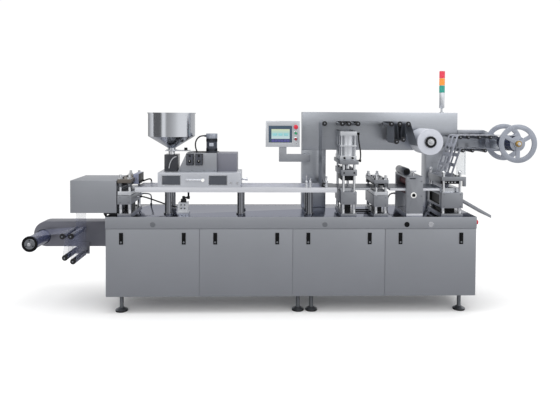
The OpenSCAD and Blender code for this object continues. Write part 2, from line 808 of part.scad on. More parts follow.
// Feeder box with two windows, its bar, knobs and side handle, and the clamps on the track
module feeder_box() {
    window_depth = 8;
    window_low = 22;
    windows = [39, 425];
    color("#C4C8CE")
        difference() {
            box(feeder_at, feeder_at + feeder_length, rail_y0, rail_y1, rail_top, feeder_top);
            for (s = windows)
                box(feeder_at + s, feeder_at + s + window_w, rail_y0 - cut, rail_y0 + window_depth,
                    rail_top + window_low, rail_top + window_low + window_h);
        }
}
module clamp(s, h) {
    foot_r = 7;
    stem_r = 4;
    knob_r = 7;
    knob_h = 16;
    y = rail_y0 + rail_w / 2;
    rod_z(s, y, foot_r, rail_top, rail_top + knob_h);
    rod_z(s, y, stem_r, rail_top, rail_top + h - knob_h);
    rod_z(s, y, knob_r, rail_top + h - knob_h, rail_top + h);
}
module feeder_fittings() {
    bar_r = 6;
    bar_from = feeder_at + 233;
    bar_to = feeder_at + 388;
    bar_z = rail_top + 62;
    bar_y = rail_y0 - 16;
    bar_knob_r = 13;
    knob_r = 9;
    knob_out = 14;
    knob_z = rail_top + 38;
    knobs = [607, 660];
    handle_z = rail_top + 60;
    handle_y = film_y - 60;
    handle_r = 7;
    handle_l = 36;
    grip_r = 13;
    grip_l = 20;
    clamps = [[1645, 100], [1677, 76], [1813, 94]];
    color("#D5D8DC") {
        rod_x(bar_y, bar_z, bar_r, bar_from, bar_to);
        for (s = [bar_from + bar_r, bar_to - bar_knob_r]) rod_y(s, bar_z, bar_r, bar_y, rail_y0);
        rod_y(bar_to - bar_knob_r, bar_z, bar_knob_r, bar_y - bar_knob_r, bar_y);
        for (s = knobs) rod_y(feeder_at + s, knob_z, knob_r, rail_y0 - knob_out, rail_y0);
        rod_x(handle_y, handle_z, handle_r, feeder_at + feeder_length, feeder_at + feeder_length + handle_l);
        rod_x(handle_y, handle_z, grip_r, feeder_at + feeder_length + handle_l,
            feeder_at + feeder_length + handle_l + grip_l);
        for (c = clamps) clamp(c[0], c[1]);
    }
}

// Drive hood with a cable gland, speed controllers and motor
module feeder_hood() {
    cap_gap = 1;
    cap_length = 167;
    cap_drop = 4;
    cap_back = 30;
    cable_end = motor_cable_route[cord_steps];
    color("#9CA0A6") {
        profile_y([[hood_from, feeder_top], [hood_to, feeder_top], [hood_to, hood_top],
            [hood_from + hood_slope, hood_top]], hood_y0, rail_y1);
        translate([cable_end[0], cable_end[1], hood_top]) cylinder(r = gland_r, h = cable_end[2] - hood_top);
        box(hood_to + cap_gap, hood_to + cap_gap + cap_length, hood_y0 + cap_back, rail_y1,
            feeder_top, hood_top - cap_drop);
    }
}
module speed_controllers() {
    width = 59;
    height = 96;
    depth = 22;
    drop = 6;
    pitch = 76;
    knob_r = 12;
    knob_out = 12;
    knob_drop = 70;
    first = hood_from + hood_slope + 1;
    color("#2B2D33")
        for (s = [first, first + pitch]) {
            box(s, s + width, hood_y0 - depth, hood_y0, hood_top - drop - height, hood_top - drop);
            rod_y(s + width / 2, hood_top - knob_drop, knob_r, hood_y0 - depth - knob_out, hood_y0 - depth);
        }
}
module feeder_motor() {
    flange_h = 8;
    cap_h = 40;
    waist = 2;
    cable_start = motor_cable_route[0];
    color("#1F2024") {
        rod_z(motor_at, film_y, motor_r + waist, hood_top, hood_top + flange_h);
        rod_z(motor_at, film_y, motor_r - waist, hood_top, hood_top + motor_h - cap_h);
        rod_z(motor_at, film_y, motor_r, hood_top + motor_h - cap_h, hood_top + motor_h);
        rod_x(cable_start[1], cable_start[2], gland_r, cable_start[0] - bed_x, motor_at);
    }
}
module motor_cable() {
    color("#141518") cord(motor_cable_route, [-1, 0, 0], [0, 0, -1], [0, 1, 0]);
}

// Feed chute: a square duct with a round neck that meets the gate under the hopper
module feed_chute() {
    left = 52;
    right = 60;
    half_depth = 60;
    neck_r = 28;
    color("#B7C4CF")
        difference() {
            union() {
                box(hopper_at - left, hopper_at + right, film_y - half_depth, film_y + half_depth,
                    feeder_top, duct_top);
                rod_z(hopper_at, film_y, neck_r, duct_top, chute_top);
            }
            box(hopper_at - left + chute_wall, hopper_at + right - chute_wall,
                film_y - half_depth + chute_wall, film_y + half_depth - chute_wall,
                feeder_top - cut, duct_top - chute_wall);
            rod_z(hopper_at, film_y, neck_r - chute_wall, duct_top - chute_wall - cut, chute_top + cut);
        }
}
module hopper_gate() {
    left = 50;
    right = 155;
    half_depth = 45;
    knob_at = 120;
    knob_r = 14;
    knob_h = 22;
    color("#C4C8CE") {
        box(hopper_at - left, hopper_at + right, film_y - half_depth, film_y + half_depth,
            chute_top, hopper_foot);
        rod_z(hopper_at + knob_at, film_y, knob_r, hopper_foot, hopper_foot + knob_h);
    }
}
module hopper() {
    t = hopper_sheet;
    neck_flange = 14;
    neck_flange_h = 5;
    lip = 6;
    lip_h = 8;
    color("#D5D8DC")
        translate([bed_x + hopper_at, film_y, 0])
            rotate_extrude($fn = 96)
                polygon([[hopper_neck_r - t, hopper_foot], [hopper_neck_r + neck_flange, hopper_foot],
                    [hopper_neck_r + neck_flange, hopper_foot + neck_flange_h],
                    [hopper_neck_r, hopper_foot + neck_flange_h],
                    [hopper_neck_r, hopper_cone_z], [hopper_r, hopper_wall_z],
                    [hopper_r, hopper_top - lip_h], [hopper_r + lip, hopper_top - lip_h],
                    [hopper_r + lip, hopper_top], [hopper_r - t, hopper_top],
                    [hopper_r - t, hopper_wall_z + 1], [hopper_neck_r - t, hopper_cone_z + 1]]);
}

// Air regulator on the bed, with a pipe up to the track
module regulator_block() {
    at = regulator_at;
    y0 = regulator_y0;
    depth = regulator_depth;
    plate_h = 12;
    body_side = regulator_side;
    body_h = 92;
    cap_r = 24;
    cap_h = 118;
    port_r = 6;
    port_depth = 10;
    port_pitch = 30;
    port_h = 42;
    pipe_r = 8;
    elbow_r = 12;
    pipe_at = at + 90;
    pipe_h = 130;
    middle = at + regulator_w / 2;
    y = y0 + depth / 2;
    color("#AEB2B8") {
        difference() {
            union() {
                box(at, at + regulator_w, y0, y0 + depth, bed_top, bed_top + plate_h);
                box(at + body_side, at + regulator_w - body_side, y0 + body_side, y0 + depth - body_side,
                    bed_top + plate_h, bed_top + body_h);
            }
            for (s = [middle - port_pitch / 2, middle + port_pitch / 2], z = [port_h, port_h + port_pitch])
                rod_y(s, bed_top + z, port_r, y0 + body_side - cut, y0 + body_side + port_depth);
        }
        rod_x(air_end[1], air_end[2], gland_r, air_end[0] - bed_x, at + body_side);
        rod_z(middle, y, cap_r, bed_top + body_h, bed_top + cap_h);
        rod_z(middle, y, elbow_r, bed_top + cap_h, bed_top + pipe_h + elbow_r);
        rod_x(y, bed_top + pipe_h, pipe_r, middle, pipe_at);
        rod_z(pipe_at, y, elbow_r, bed_top + pipe_h - elbow_r, bed_top + pipe_h + elbow_r);
        rod_z(pipe_at, y, pipe_r, bed_top + pipe_h, track_bottom);
    }
}

module air_hose() {
    color("#141518") cord(air_hose_route, [1, 0, 0], [1, 0, 0], [0, 1, 0]);
}

// Gantry
module gantry_left_post() {
    color("#9A9EA5") box(gantry_at, gantry_at + post_w, carrier_y0, carrier_y1, bed_top, beam_bottom);
}
module gantry_beam() {
    color("#A9ADB4") box(gantry_at, gantry_end, carrier_y0, carrier_y1, beam_bottom, gantry_top);
}
module gantry_right_post() {
    color("#9A9EA5")
        box(right_post_at, right_post_at + post_w, carrier_y0, carrier_y1, bed_top, beam_bottom);
}

// Operator panel with a sunk screen, on a square tube arm
module control_panel() {
    screen_left = 26;
    screen_right = 68;
    screen_low = 39;
    screen_high = 42;
    screen_depth = 3;
    color("#AFB3B9")
        difference() {
            box(panel_from, panel_from + panel_w, panel_y0, panel_y0 + panel_d, panel_z, panel_z + panel_h);
            box(panel_from + screen_left, panel_from + panel_w - screen_right,
                panel_y0 - cut, panel_y0 + screen_depth,
                panel_z + screen_low, panel_z + panel_h - screen_high);
        }
}
module panel_arm() {
    neck_h = 65;
    post_from = panel_from + 118;
    seat_l = 60;
    y0 = panel_y0 + (panel_d - panel_tube) / 2;
    y1 = y0 + panel_tube;
    z1 = panel_z - neck_h;
    z0 = z1 - panel_tube;
    color("#8C9096") {
        box(post_from, post_from + panel_tube, y0, y1, z1, panel_z);
        box(post_from, gantry_at, y0, y1, z0, z1);
        box(gantry_at, gantry_at + seat_l, y0, carrier_y0, z0, z1);
    }
}
module push_buttons() {
    s = panel_from + panel_w - 36;
    heights = [69, 121];
    stop_h = 175;
    out = 10;
    cap = 12;
    bed_stop_y = -bed_half + 60;
    bed_stop_z = bed_top - 55;
    neck_l = 20;
    cap_l = 14;
    color("#C0282D") {
        rod_y(s, panel_z + stop_h, stop_r, panel_y0 - out - cap, panel_y0 - out);
        rod_y(s, panel_z + stop_h, button_r, panel_y0 - out, panel_y0);
        for (h = heights) rod_y(s, panel_z + h, button_r, panel_y0 - out, panel_y0);
        rod_x(bed_stop_y, bed_stop_z, button_r, bed_length, bed_length + neck_l);
        rod_x(bed_stop_y, bed_stop_z, stop_r, bed_length + neck_l, bed_length + neck_l + cap_l);
    }
}

// Lidding foil: rollers, web and roll
module foil_rollers() {
    color("#2A2B30") {
        for (s = foil_top_rollers) guide_roller(s, foil_line, foil_roller_r);
        for (p = foil_low_rollers) guide_roller(p[0], p[1], foil_roller_r);
        guide_roller(foil_top_rollers[0], foil_turn_z, foil_roller_r);
    }
}
module foil_web() {
    t = foil_top_rollers;
    r = foil_roller_r;
    low = foil_low_rollers;
    color("#B9BCC4")
        web([over(foil_roll_at, foil_roll_z, foil_roll_r, 1), over(t[6], foil_line, r, -1),
            over(low[1][0], low[1][1], r, 1), over(t[5], foil_line, r, -1),
            over(low[0][0], low[0][1], r, 1), over(t[4], foil_line, r, -1),
            over(t[0], foil_line, r, -1), over(t[0], foil_turn_z, r, -1),
            [web_end, film_top + web_thick / 2, 0, 0]], film_y0, film_y1);
}
module foil_roll() {
    chuck_front = 14;
    chuck_rear = 10;
    color("#E4E6EA")
        difference() {
            union() {
                rod_y(foil_roll_at, foil_roll_z, foil_roll_r, film_y0, film_y1);
                rod_y(foil_roll_at, foil_roll_z, chuck_r, film_y0 - chuck_front, film_y1 + chuck_rear);
            }
            rod_y(foil_roll_at, foil_roll_z, shaft_r + shaft_gap, film_y0 - chuck_front - cut,
                film_y1 + chuck_rear + cut);
        }
}
module reel_shafts() {
    film_nose = 24;
    foil_nose = 40;
    waste_nose = 36;
    color("#C9CCD1") {
        rod_y(film_roll_at, film_roll_z, shaft_r, film_y0 - film_nose, carrier_y0);
        rod_y(foil_roll_at, foil_roll_z, shaft_r, film_y0 - foil_nose, carrier_y0);
        rod_y(reel_at, reel_z, shaft_r, film_y0 - waste_nose, carrier_y0);
    }
}
module signal_tower() {
    s = gantry_end - 125;
    y = carrier_back + carrier_thick / 2;
    stem_r = 10;
    stem_h = 43;
    tube_h = 142;
    lamp_gap = 3;
    lamps_z = gantry_top + stem_h + tube_h;
    pitch = lamp_h + lamp_gap;
    color("#B0B4BA") {
        rod_z(s, y, stem_r, gantry_top, gantry_top + stem_h);
        rod_z(s, y, tower_d / 2 - 2, gantry_top + stem_h, lamps_z);
        for (i = [0 : 2]) rod_z(s, y, tower_d / 2, lamps_z + i * pitch, lamps_z + i * pitch + lamp_h);
        rod_z(s, y, tower_d / 2 - 4, lamps_z, lamps_z + 3 * pitch);
    }
}

// Sealing station; two rods on the bed tie it to the creasing station
module sealing_base() {
    s = sealing_at;
    block_rise = 98;
    side = 4;
    shelf_gap = 20;
    tie_r = 7;
    tie_y = [film_y - 45, film_y + 45];
    color("#8C9096") {
        station_bed(s, sealing_w, bed_top + block_rise, sealing_block_top);
        box(s + side, creasing_at - shelf_gap, film_y0 - rail_gap, film_y1 + rail_gap,
            film_z - shelf_thick, film_z);
        box(s + side, s + sealing_w - side, film_y0 - rail_gap, film_y1 + rail_gap,
            sealing_block_top, film_z - shelf_thick);
        station_columns(s, sealing_w, column_r, sealing_block_top, cylinder_z);
        for (y = tie_y) rod_x(y, bed_top + base_thick / 2, tie_r, s + sealing_w, creasing_at);
    }
}
module sealing_platen() {
    s = sealing_at;
    heat_inset = 14;
    color("#9EA2A8") {
        difference() {
            box(s, s + sealing_w, station_y0, station_y1, platen_z, platen_top);
            station_columns(s, sealing_w, column_r + column_gap, platen_z - cut, platen_top + cut);
        }
        box(s + heat_inset, s + sealing_w - heat_inset, film_y0 - rail_gap, film_y1 + rail_gap,
            platen_z - heat_plate_h, platen_z);
        for (y = ram_y) rod_z(s + sealing_w / 2, y, ram_r, platen_top, ram_end);
    }
}
module hose_elbow(hose_x, y, z, wall_s, up) {
    s = hose_x - bed_x;
    elbow_h = 22;
    rod_x(y, z + up * elbow_h / 2, gland_r - 2, wall_s, s);
    rod_z(s, y, gland_r, min(z, z + up * elbow_h), max(z, z + up * elbow_h));
}
module sealing_top_plate() {
    s = sealing_at;
    side = 5;
    right = s + sealing_w + plate_overhang;
    hose_end = sealing_hose_route[cord_steps];
    color("#A3A7AD") {
        difference() {
            box(s - plate_overhang, right, station_y0 - side, station_y1 + side, cylinder_plate_z, cylinder_z);
            station_columns(s, sealing_w, column_r + plate_fit, cylinder_plate_z - cut, cylinder_z + cut);
            for (y = ram_y)
                rod_z(s + sealing_w / 2, y, ram_r + column_gap, cylinder_plate_z - cut, cylinder_z + cut);
        }
        hose_elbow(hose_end[0], hose_end[1], hose_end[2], right, -1);
    }
}
module sealing_cylinders() {
    s = sealing_at + sealing_w / 2;
    half = cylinder_w / 2;
    barrel_inset = 8;
    tie_inset = 12;
    band_at = 112;
    band_h = 12;
    top = cylinder_z + cylinder_h;
    hose_start = sealing_hose_route[0];
    color("#E2E5E9") {
        for (y = ram_y)
            difference() {
                union() {
                    box(s - half, s + half, y - half, y + half, cylinder_z, cylinder_z + cylinder_cap_h);
                    rod_z(s, y, half - barrel_inset, cylinder_z, top);
                    box(s - half, s + half, y - half, y + half,
                        cylinder_z + band_at, cylinder_z + band_at + band_h);
                    box(s - half, s + half, y - half, y + half, top - cylinder_cap_h, top);
                    at_corners(s - half + tie_inset, s + half - tie_inset,
                        y - half + tie_inset, y + half - tie_inset)
                        translate([0, 0, cylinder_z]) cylinder(r = tie_rod_r, h = cylinder_h);
                }
                rod_z(s, y, ram_r + column_gap, cylinder_z - cut, ram_end + ram_room);
            }
        hose_elbow(hose_start[0], hose_start[1], hose_start[2], s + half, 1);
    }
}
module sealing_hose() {
    color("#141518") cord(sealing_hose_route, [0, 0, -1], [0, 0, -1], [0, 1, 0]);
}

// Creasing station
module creasing_base() {
    block_rise = 78;
    color("#8C9096") lifting_base(creasing_at, creasing_w, bed_top + block_rise, upper_plate_top);
}
module creasing_lower_die() {
    color("#C6C8CC") lifting_die(creasing_at, creasing_w);
}
module creasing_top_plate() {
    color("#8C9096") {
        upper_plate(creasing_at, creasing_w);
        column_nuts(creasing_at, creasing_w, upper_plate_top);
    }
}

// Traction unit: a base plate, two cheeks with the shelves between them, a drum and a clamping handle on top
module traction_unit() {
    s0 = traction_at;
    s1 = traction_at + traction_w;
    top = film_z + cheek_rise;
    cheek_z = bed_top + base_thick;
    lid_thick = 16;
    shelf_gap = 20;
    punch_gap = 8;
    shelf_lap = 20;
    slot_at = 25;
    slot_w = 51;
    slot_h = 8;
    slot_drop = 14;
    slot_depth = 6;
    knob_at = 61;
    knob_drop = 156;
    knob_r = 12;
    knob_out = 10;
    drum_at = 20;
    drum_sink = 2;
    drum_front = 75;
    drum_rear = 60;
    handle_at = 79;
    handle_y = film_y - 115;
    handle_r = 6;
    handle_h = 36;
    grip_half = 22;
    color("#8C9096") {
        difference() {
            box(s0, s1, station_y0, traction_y0, cheek_z, top);
            box(s0 + slot_at, s0 + slot_at + slot_w, station_y0 - cut, station_y0 + slot_depth,
                top - slot_drop - slot_h, top - slot_drop);
        }
        rod_y(s0 + knob_at, top - knob_drop, knob_r, station_y0 - knob_out, station_y0);
        box(s0, s1, traction_y1, station_y1, cheek_z, top);
        box(s0, s1, station_y0, station_y1, bed_top, cheek_z);
        rod_x(cheek_side[1], traction_cable_route[0][2], gland_r, s0 - gland_l, s0);
        box(s0, s1, traction_y0, traction_y1, top - lid_thick, top);
        box(creasing_at + creasing_w + shelf_gap, s0 + shelf_lap, traction_y0, traction_y1,
            film_z - shelf_thick, film_z);
        box(s1 - shelf_lap, punch_at - punch_gap, traction_y0, traction_y1, film_z - shelf_thick, film_z);
        rod_y(s0 + drum_at, top + drum_r - drum_sink, drum_r, station_y0 + drum_front, station_y1 - drum_rear);
        rod_z(s0 + handle_at, handle_y, handle_r, top, top + handle_h);
        rod_x(handle_y, top + handle_h, handle_r, s0 + handle_at - grip_half, s0 + handle_at + grip_half);
    }
}
module traction_rollers() {
    s = traction_at + traction_w / 2;
    color("#4A1F22") {
        rod_y(s, film_z - web_gap - traction_roller_r, traction_roller_r, traction_y0, traction_y1);
        rod_y(s, foil_top + web_gap + traction_roller_r, traction_roller_r, traction_y0, traction_y1);
    }
}

module traction_cable() {
    color("#141518") cord(traction_cable_route, [-1, 0, 0], [0, 0, -1], [1, 0, 0.4]);
}

// Punching station: the head slides on four columns over a die block with a scrap window
module punch_base() {
    s = punch_at;
    block_rise = 68;
    side = 4;
    column_extra = 20;
    window_y0 = station_y0 + 60;
    window_y1 = station_y1 - 60;
    window_low = 20;
    window_high = 26;
    window_depth = 14;
    color("#8C9096")
        difference() {
            union() {
                station_bed(s, punch_w, bed_top + block_rise, punch_block_top);
                box(s + side, s + punch_w - side, film_y0 - rail_gap, film_y1 + rail_gap,
                    punch_block_top, film_z);
                station_columns(s, punch_w, column_r, punch_block_top, punch_plate_top + column_extra);
            }
            box(s - cut, s + window_depth, window_y0, window_y1,
                bed_top + block_rise + window_low, punch_block_top - window_high);
        }
}
module punch_head() {
    s = punch_at;
    ring = 12;
    ring_short = 10;
    ring_side = 30;
    window_to = 125;
    window_side = 15;
    tab_w = 24;
    tab_d = 20;
    tab_h = 46;
    color("#8C9096") {
        difference() {
            union() {
                box(s, s + punch_w, station_y0, station_y1, punch_plate_z, punch_plate_top);
                box(s, s + punch_w - ring_short, film_y0 - ring_side, film_y1 + ring_side,
                    punch_plate_z - punch_ring_h, punch_plate_z);
            }
            box(s + ring, s + window_to, film_y0 - window_side, film_y1 + window_side,
                punch_plate_z - punch_ring_h - cut, punch_plate_top + cut);
            station_columns(s, punch_w, column_r + column_gap, punch_plate_z - punch_ring_h - cut,
                punch_plate_top + cut);
        }
        box(s + punch_w, s + punch_w + tab_w, station_y0, station_y0 + tab_d,
            punch_plate_z - tab_h, punch_plate_top);
    }
}
module punch_guard() {
    sheet = 5;
    flange = 30;
    h = 217;
    s0 = gantry_end + 3;
    s1 = s0 + guard_w;
    color("#DCE6EC") {
        box(s0, s1, carrier_y0, carrier_y0 + sheet, waste_bottom - h, waste_bottom);
        for (s = [s0, s1 - sheet])
            box(s, s + sheet, carrier_y0, carrier_y0 + flange, waste_bottom - h, waste_bottom);
    }
}
module outfeed_chute() {
    from = punch_at + punch_w;
    to = bed_length + chute_overhang;
    high = bed_top + 124;
    edge_clear = 62;
    fall = (high - bed_top - edge_clear) / (bed_length - from);
    low = high - fall * (to - from);
    plate = 4;
    lip = 24;
    wall = 3;
    slant = [[from, high], [to, low], [to, low + plate], [from, high + plate]];
    side = [[from, high], [to, low], [to, low + lip], [from, high + lip]];
    color("#BFC3C9") {
        profile_y(slant, film_y0, film_y1);
        profile_y(side, film_y0 - wall, film_y0);
        profile_y(side, film_y1, film_y1 + wall);
    }
}

// Waste winder: arm with a front lip, rollers, the two waste strips and the reel
module waste_arm() {
    end = gantry_end + waste_arm_reach;
    thin = 40;
    tip = 40;
    tip_rise = 20;
    lip_h = 40;
    lip_proud = 5;
    color("#8E9299") {
        profile_y([[gantry_end, waste_bottom], [reel_at + tip, waste_bottom], [reel_at + tip, reel_z + tip_rise],
            [end - tip, waste_top], [gantry_end, waste_top]], carrier_y0, carrier_y1 - thin);
        box(gantry_end, end - tip, carrier_y0 - lip_proud, carrier_y0, waste_top - lip_h, waste_top);
    }
}
module waste_rollers() {
    color("#2A2B30") {
        for (s = waste_high_rollers) guide_roller(s, waste_high, waste_roller_r);
        for (s = waste_low_rollers) guide_roller(s, waste_low, waste_roller_r);
    }
}
module waste_web() {
    inset = 8;
    start_gap = 2;
    first = 20;
    second = 80;
    r = waste_roller_r;
    h = waste_high_rollers;
    l = waste_low_rollers;
    y0 = film_y0 + inset;
    y1 = film_y1 - inset;
    color("#6F737C") {
        web([[punch_at + first, foil_top + start_gap, 0, 0], over(h[0], waste_high, r, 1),
            over(h[3], waste_high, r, 1), over(reel_at, reel_z, waste_core_r, 1)], y0, y1);
        web([[punch_at + second, foil_top + start_gap, 0, 0], over(l[0], waste_low, r, 1),
            over(l[2], waste_low, r, 1), over(reel_at, reel_z, waste_core_r, -1)], y0, y1);
    }
}
module reel_flange(y0) {
    hub_r = 34;
    y1 = y0 + flange_thick;
    difference() {
        rod_y(reel_at, reel_z, reel_r, y0, y1);
        rod_y(reel_at, reel_z, reel_r - reel_rim, y0 - cut, y1 + cut);
    }
    for (i = [0 : 2])
        translate([bed_x + reel_at, y0, reel_z]) rotate([0, 90 + 120 * i, 0])
            translate([0, 0, -spoke_w / 2]) cube([reel_r - reel_rim / 2, flange_thick, spoke_w]);
    rod_y(reel_at, reel_z, hub_r, y0, y1);
}
module waste_reel() {
    air = 2;
    nut_r = 26;
    nut_l = 14;
    front = film_y0 - air - flange_thick;
    rear = film_y1 + air;
    color("#D2D6DB")
        difference() {
            union() {
                reel_flange(front);
                reel_flange(rear);
                rod_y(reel_at, reel_z, waste_core_r, film_y0 - air, film_y1 + air);
                rod_y(reel_at, reel_z, nut_r, front - nut_l, front);
            }
            rod_y(reel_at, reel_z, shaft_r + shaft_gap, front - nut_l - cut, rear + flange_thick + cut);
        }
}

bed();
cabinet_body();
front_panels();
rear_panels();
panel_latches();
levelling_feet();
unwind_arm();
unwind_rollers();
film_roll();
forming_film();
heater_box();
heater_bracket();
forming_base();
forming_lower_die();
forming_top_plate();
forming_hose();
forming_loop_hose();
feeder_track();
track_posts();
feeder_box();
feeder_fittings();
feeder_hood();
speed_controllers();
feeder_motor();
motor_cable();
feed_chute();
hopper();
hopper_gate();
regulator_block();
air_hose();
gantry_left_post();
gantry_beam();
gantry_right_post();
control_panel();
panel_arm();
push_buttons();
foil_rollers();
foil_web();
foil_roll();
reel_shafts();
signal_tower();
sealing_base();
sealing_platen();
sealing_top_plate();
sealing_cylinders();
sealing_hose();
creasing_base();
creasing_lower_die();
creasing_top_plate();
traction_unit();
traction_rollers();
traction_cable();
punch_base();
punch_head();
punch_guard();
outfeed_chute();
waste_arm();
waste_rollers();
waste_web();
waste_reel();
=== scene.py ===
"""Looks of a flat-plate blister packing machine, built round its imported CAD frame."""

import functools
import json
import math

import bmesh
import bpy
from mathutils import Matrix, Vector


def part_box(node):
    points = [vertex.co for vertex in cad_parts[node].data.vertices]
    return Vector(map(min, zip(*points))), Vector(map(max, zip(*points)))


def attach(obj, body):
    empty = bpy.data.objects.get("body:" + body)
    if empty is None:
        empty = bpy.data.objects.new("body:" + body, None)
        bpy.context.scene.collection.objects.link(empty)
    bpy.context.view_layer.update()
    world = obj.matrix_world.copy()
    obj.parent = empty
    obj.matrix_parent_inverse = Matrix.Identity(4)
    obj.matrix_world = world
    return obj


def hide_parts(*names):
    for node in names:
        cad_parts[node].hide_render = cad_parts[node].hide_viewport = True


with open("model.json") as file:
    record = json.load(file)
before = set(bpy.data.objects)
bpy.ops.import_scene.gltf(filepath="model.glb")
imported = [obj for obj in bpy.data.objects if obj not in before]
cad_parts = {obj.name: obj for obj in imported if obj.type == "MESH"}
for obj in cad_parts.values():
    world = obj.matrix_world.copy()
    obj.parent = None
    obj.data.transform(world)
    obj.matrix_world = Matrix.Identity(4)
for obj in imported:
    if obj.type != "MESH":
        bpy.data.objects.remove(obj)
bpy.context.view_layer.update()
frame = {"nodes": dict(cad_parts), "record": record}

bl_info = {
    "name": "Blister Packing Machine",
    "version": (1, 0, 0),
    "blender": (4, 5, 0),
    "location": "View3D > Sidebar > Blister Machine",
    "description": "Builds the finishes, fittings and stage of a flat-plate blister packing machine",
    "category": "Object",
}

MM = 0.001
MACHINE = "machine"
BODY_OF = {node: body for body, nodes in frame["record"]["behaviour"]["bodies"].items() for node in nodes}

# Directions
UP = (0, 0, 1)
TO_FRONT = (0, -1, 0)
TO_BACK = (0, 1, 0)

# Places that the frame gives
BED_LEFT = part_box("bed")[0].x
BED_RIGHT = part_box("bed")[1].x
BED_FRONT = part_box("bed")[0].y
BED_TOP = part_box("track_posts")[0].z
FILM_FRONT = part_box("forming_film")[0].y
FILM_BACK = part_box("forming_film")[1].y
FILM_MIDDLE = (FILM_FRONT + FILM_BACK) / 2
STATION_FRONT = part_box("forming_base")[0].y
STATION_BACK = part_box("forming_base")[1].y
FILM_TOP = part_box("forming_film")[1].z

# The housings under the stations reach this far from the film's middle; their black stands as painted shade
# between the legs
HOUSING_HALF = 100 * MM

# Room for rounding where the place of a face decides its finish
SLACK = 0.5 * MM

# Half the length of the traction unit along the film
TRACTION_HALF = 69.5 * MM

# Roller sleeves reach this far past the film's edges
SLEEVE_OVERHANG = 4 * MM

# Edges are rounded, or shaded as sharp, where their faces meet at more than these angles
BEVEL_ANGLE = math.radians(40)
SHARP_ANGLE = math.radians(35)

# Webs lie this far off their rollers and are drawn this thick
WEB_GAP = 0.3 * MM
WEB_THICK = 1.0 * MM

# Photograph frame and camera, found by fitting the cabinet, gantry and stations
PHOTO_WIDTH = 560
PHOTO_HEIGHT = 400
FOCAL_PIXELS = 518.7
AXIS_PIXEL_Y = 126.74
SENSOR = 36.0
CAMERA_PLACE = Vector((-0.126, -4.5374, 1.648))
CAMERA_TILT = math.radians(1.449)
CAMERA_YAW = math.radians(1.702)
CAMERA_ROLL = math.radians(0.343)

# What gloss sees round the machine: place on the ring, from -X through -Y, +X and +Y, and level
STUDIO_RING = [
    (0.0, 0.15), (0.13, 0.15), (0.15, 1.0), (0.185, 1.0), (0.205, 0.40), (0.255, 0.48), (0.31, 0.66),
    (0.37, 0.95), (0.45, 1.0), (0.52, 1.0), (0.56, 0.60), (0.66, 0.60), (0.69, 0.64), (0.81, 0.64),
    (0.84, 0.20), (1.0, 0.20)]
STUDIO_CEILING = 0.75
STUDIO_WHITE = 1.03
FLOOR_IN_GLOSS = "#A8A8AA"
FLOOR_HALF = 6.0

# Soft boxes: name, place, width and height, power, and the point that they face
STUDIO_LIGHTS = [
    ("key", (3.2, -3.8, 3.6), (3.0, 2.0), 22, (0.0, 0, 0.9)),
    ("fill", (-1.6, -5.0, 3.4), (3.0, 1.2), 14, (-0.4, 0, 0.7)),
    ("overhead", (0.2, -0.6, 4.2), (5.0, 1.6), 60, (0, 0, 0.8)),
]

# Cords
CORD_DIAMETER = 12 * MM
CORD_STEPS = 32


def middle_x(node):
    """X of the middle of a node's box."""
    return sum(corner.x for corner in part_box(node)) / 2


def offset(origin, *millimetres):
    """A place given in millimetres from an origin."""
    return origin + Vector(millimetres) * MM


# Origins of the cord routes on the machine
FORMING_SIDE = Vector((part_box("forming_lower_die")[1].x + 2 * MM, FILM_MIDDLE, BED_TOP))
MOTOR_FOOT = Vector((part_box("feeder_motor")[1].x - 50 * MM, FILM_MIDDLE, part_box("feeder_motor")[0].z))
RAM_FOOT = Vector((middle_x("sealing_platen"), FILM_MIDDLE - 71 * MM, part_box("sealing_cylinders")[0].z))
CHEEK_SIDE = Vector((middle_x("traction_rollers") - TRACTION_HALF, STATION_BACK - 15 * MM, BED_TOP))
RAIL_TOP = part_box("feeder_box")[0].z
LOOP_END = Vector((FORMING_SIDE.x + 95 * MM, FILM_BACK + 12.5 * MM, RAIL_TOP + 12 * MM))
AIR_END = Vector((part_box("regulator_block")[0].x, -120 * MM, BED_TOP + 50 * MM))

# Start, pull at the start, end and pull at the end of each cord, as in the CAD
CORDS = {
    "motor_cable": (
        offset(MOTOR_FOOT, -63, 0, 140), (-200, 0, 20), offset(MOTOR_FOOT, -128, 0, 12), (90, 0, -190)),
    "sealing_hose": (
        offset(RAM_FOOT, 96, 0, 207), (0, 0, -260), offset(RAM_FOOT, 112, 0, 0), (-40, 0, -200)),
    "forming_hose": (
        offset(FORMING_SIDE, 18, 155, 135), (240, 0, 0), offset(FORMING_SIDE, 49, 335, 20), (-20, 60, -240)),
    "forming_loop_hose": (
        offset(FORMING_SIDE, 47, 70, 261), (110, 0, 40), LOOP_END, (0, 30, -110)),
    "air_hose": (
        offset(FORMING_SIDE, 18, 25, 130), (200, 0, 0), AIR_END, (200, 0, 0)),
    "traction_cable": (
        offset(CHEEK_SIDE, -15, 0, 138), (-150, 0, 0), offset(CHEEK_SIDE, -40, 145, 20), (0, 60, -160)),
}


def linear(hex_colour):
    """An sRGB hex colour as linear red, green and blue."""
    parts = [int(hex_colour[i:i + 2], 16) / 255 for i in (1, 3, 5)]
    return tuple(c / 12.92 if c <= 0.04045 else ((c + 0.055) / 1.055) ** 2.4 for c in parts)


def along(s):
    """World X of a place given in millimetres from the bed's left end."""
    return BED_LEFT + s * MM


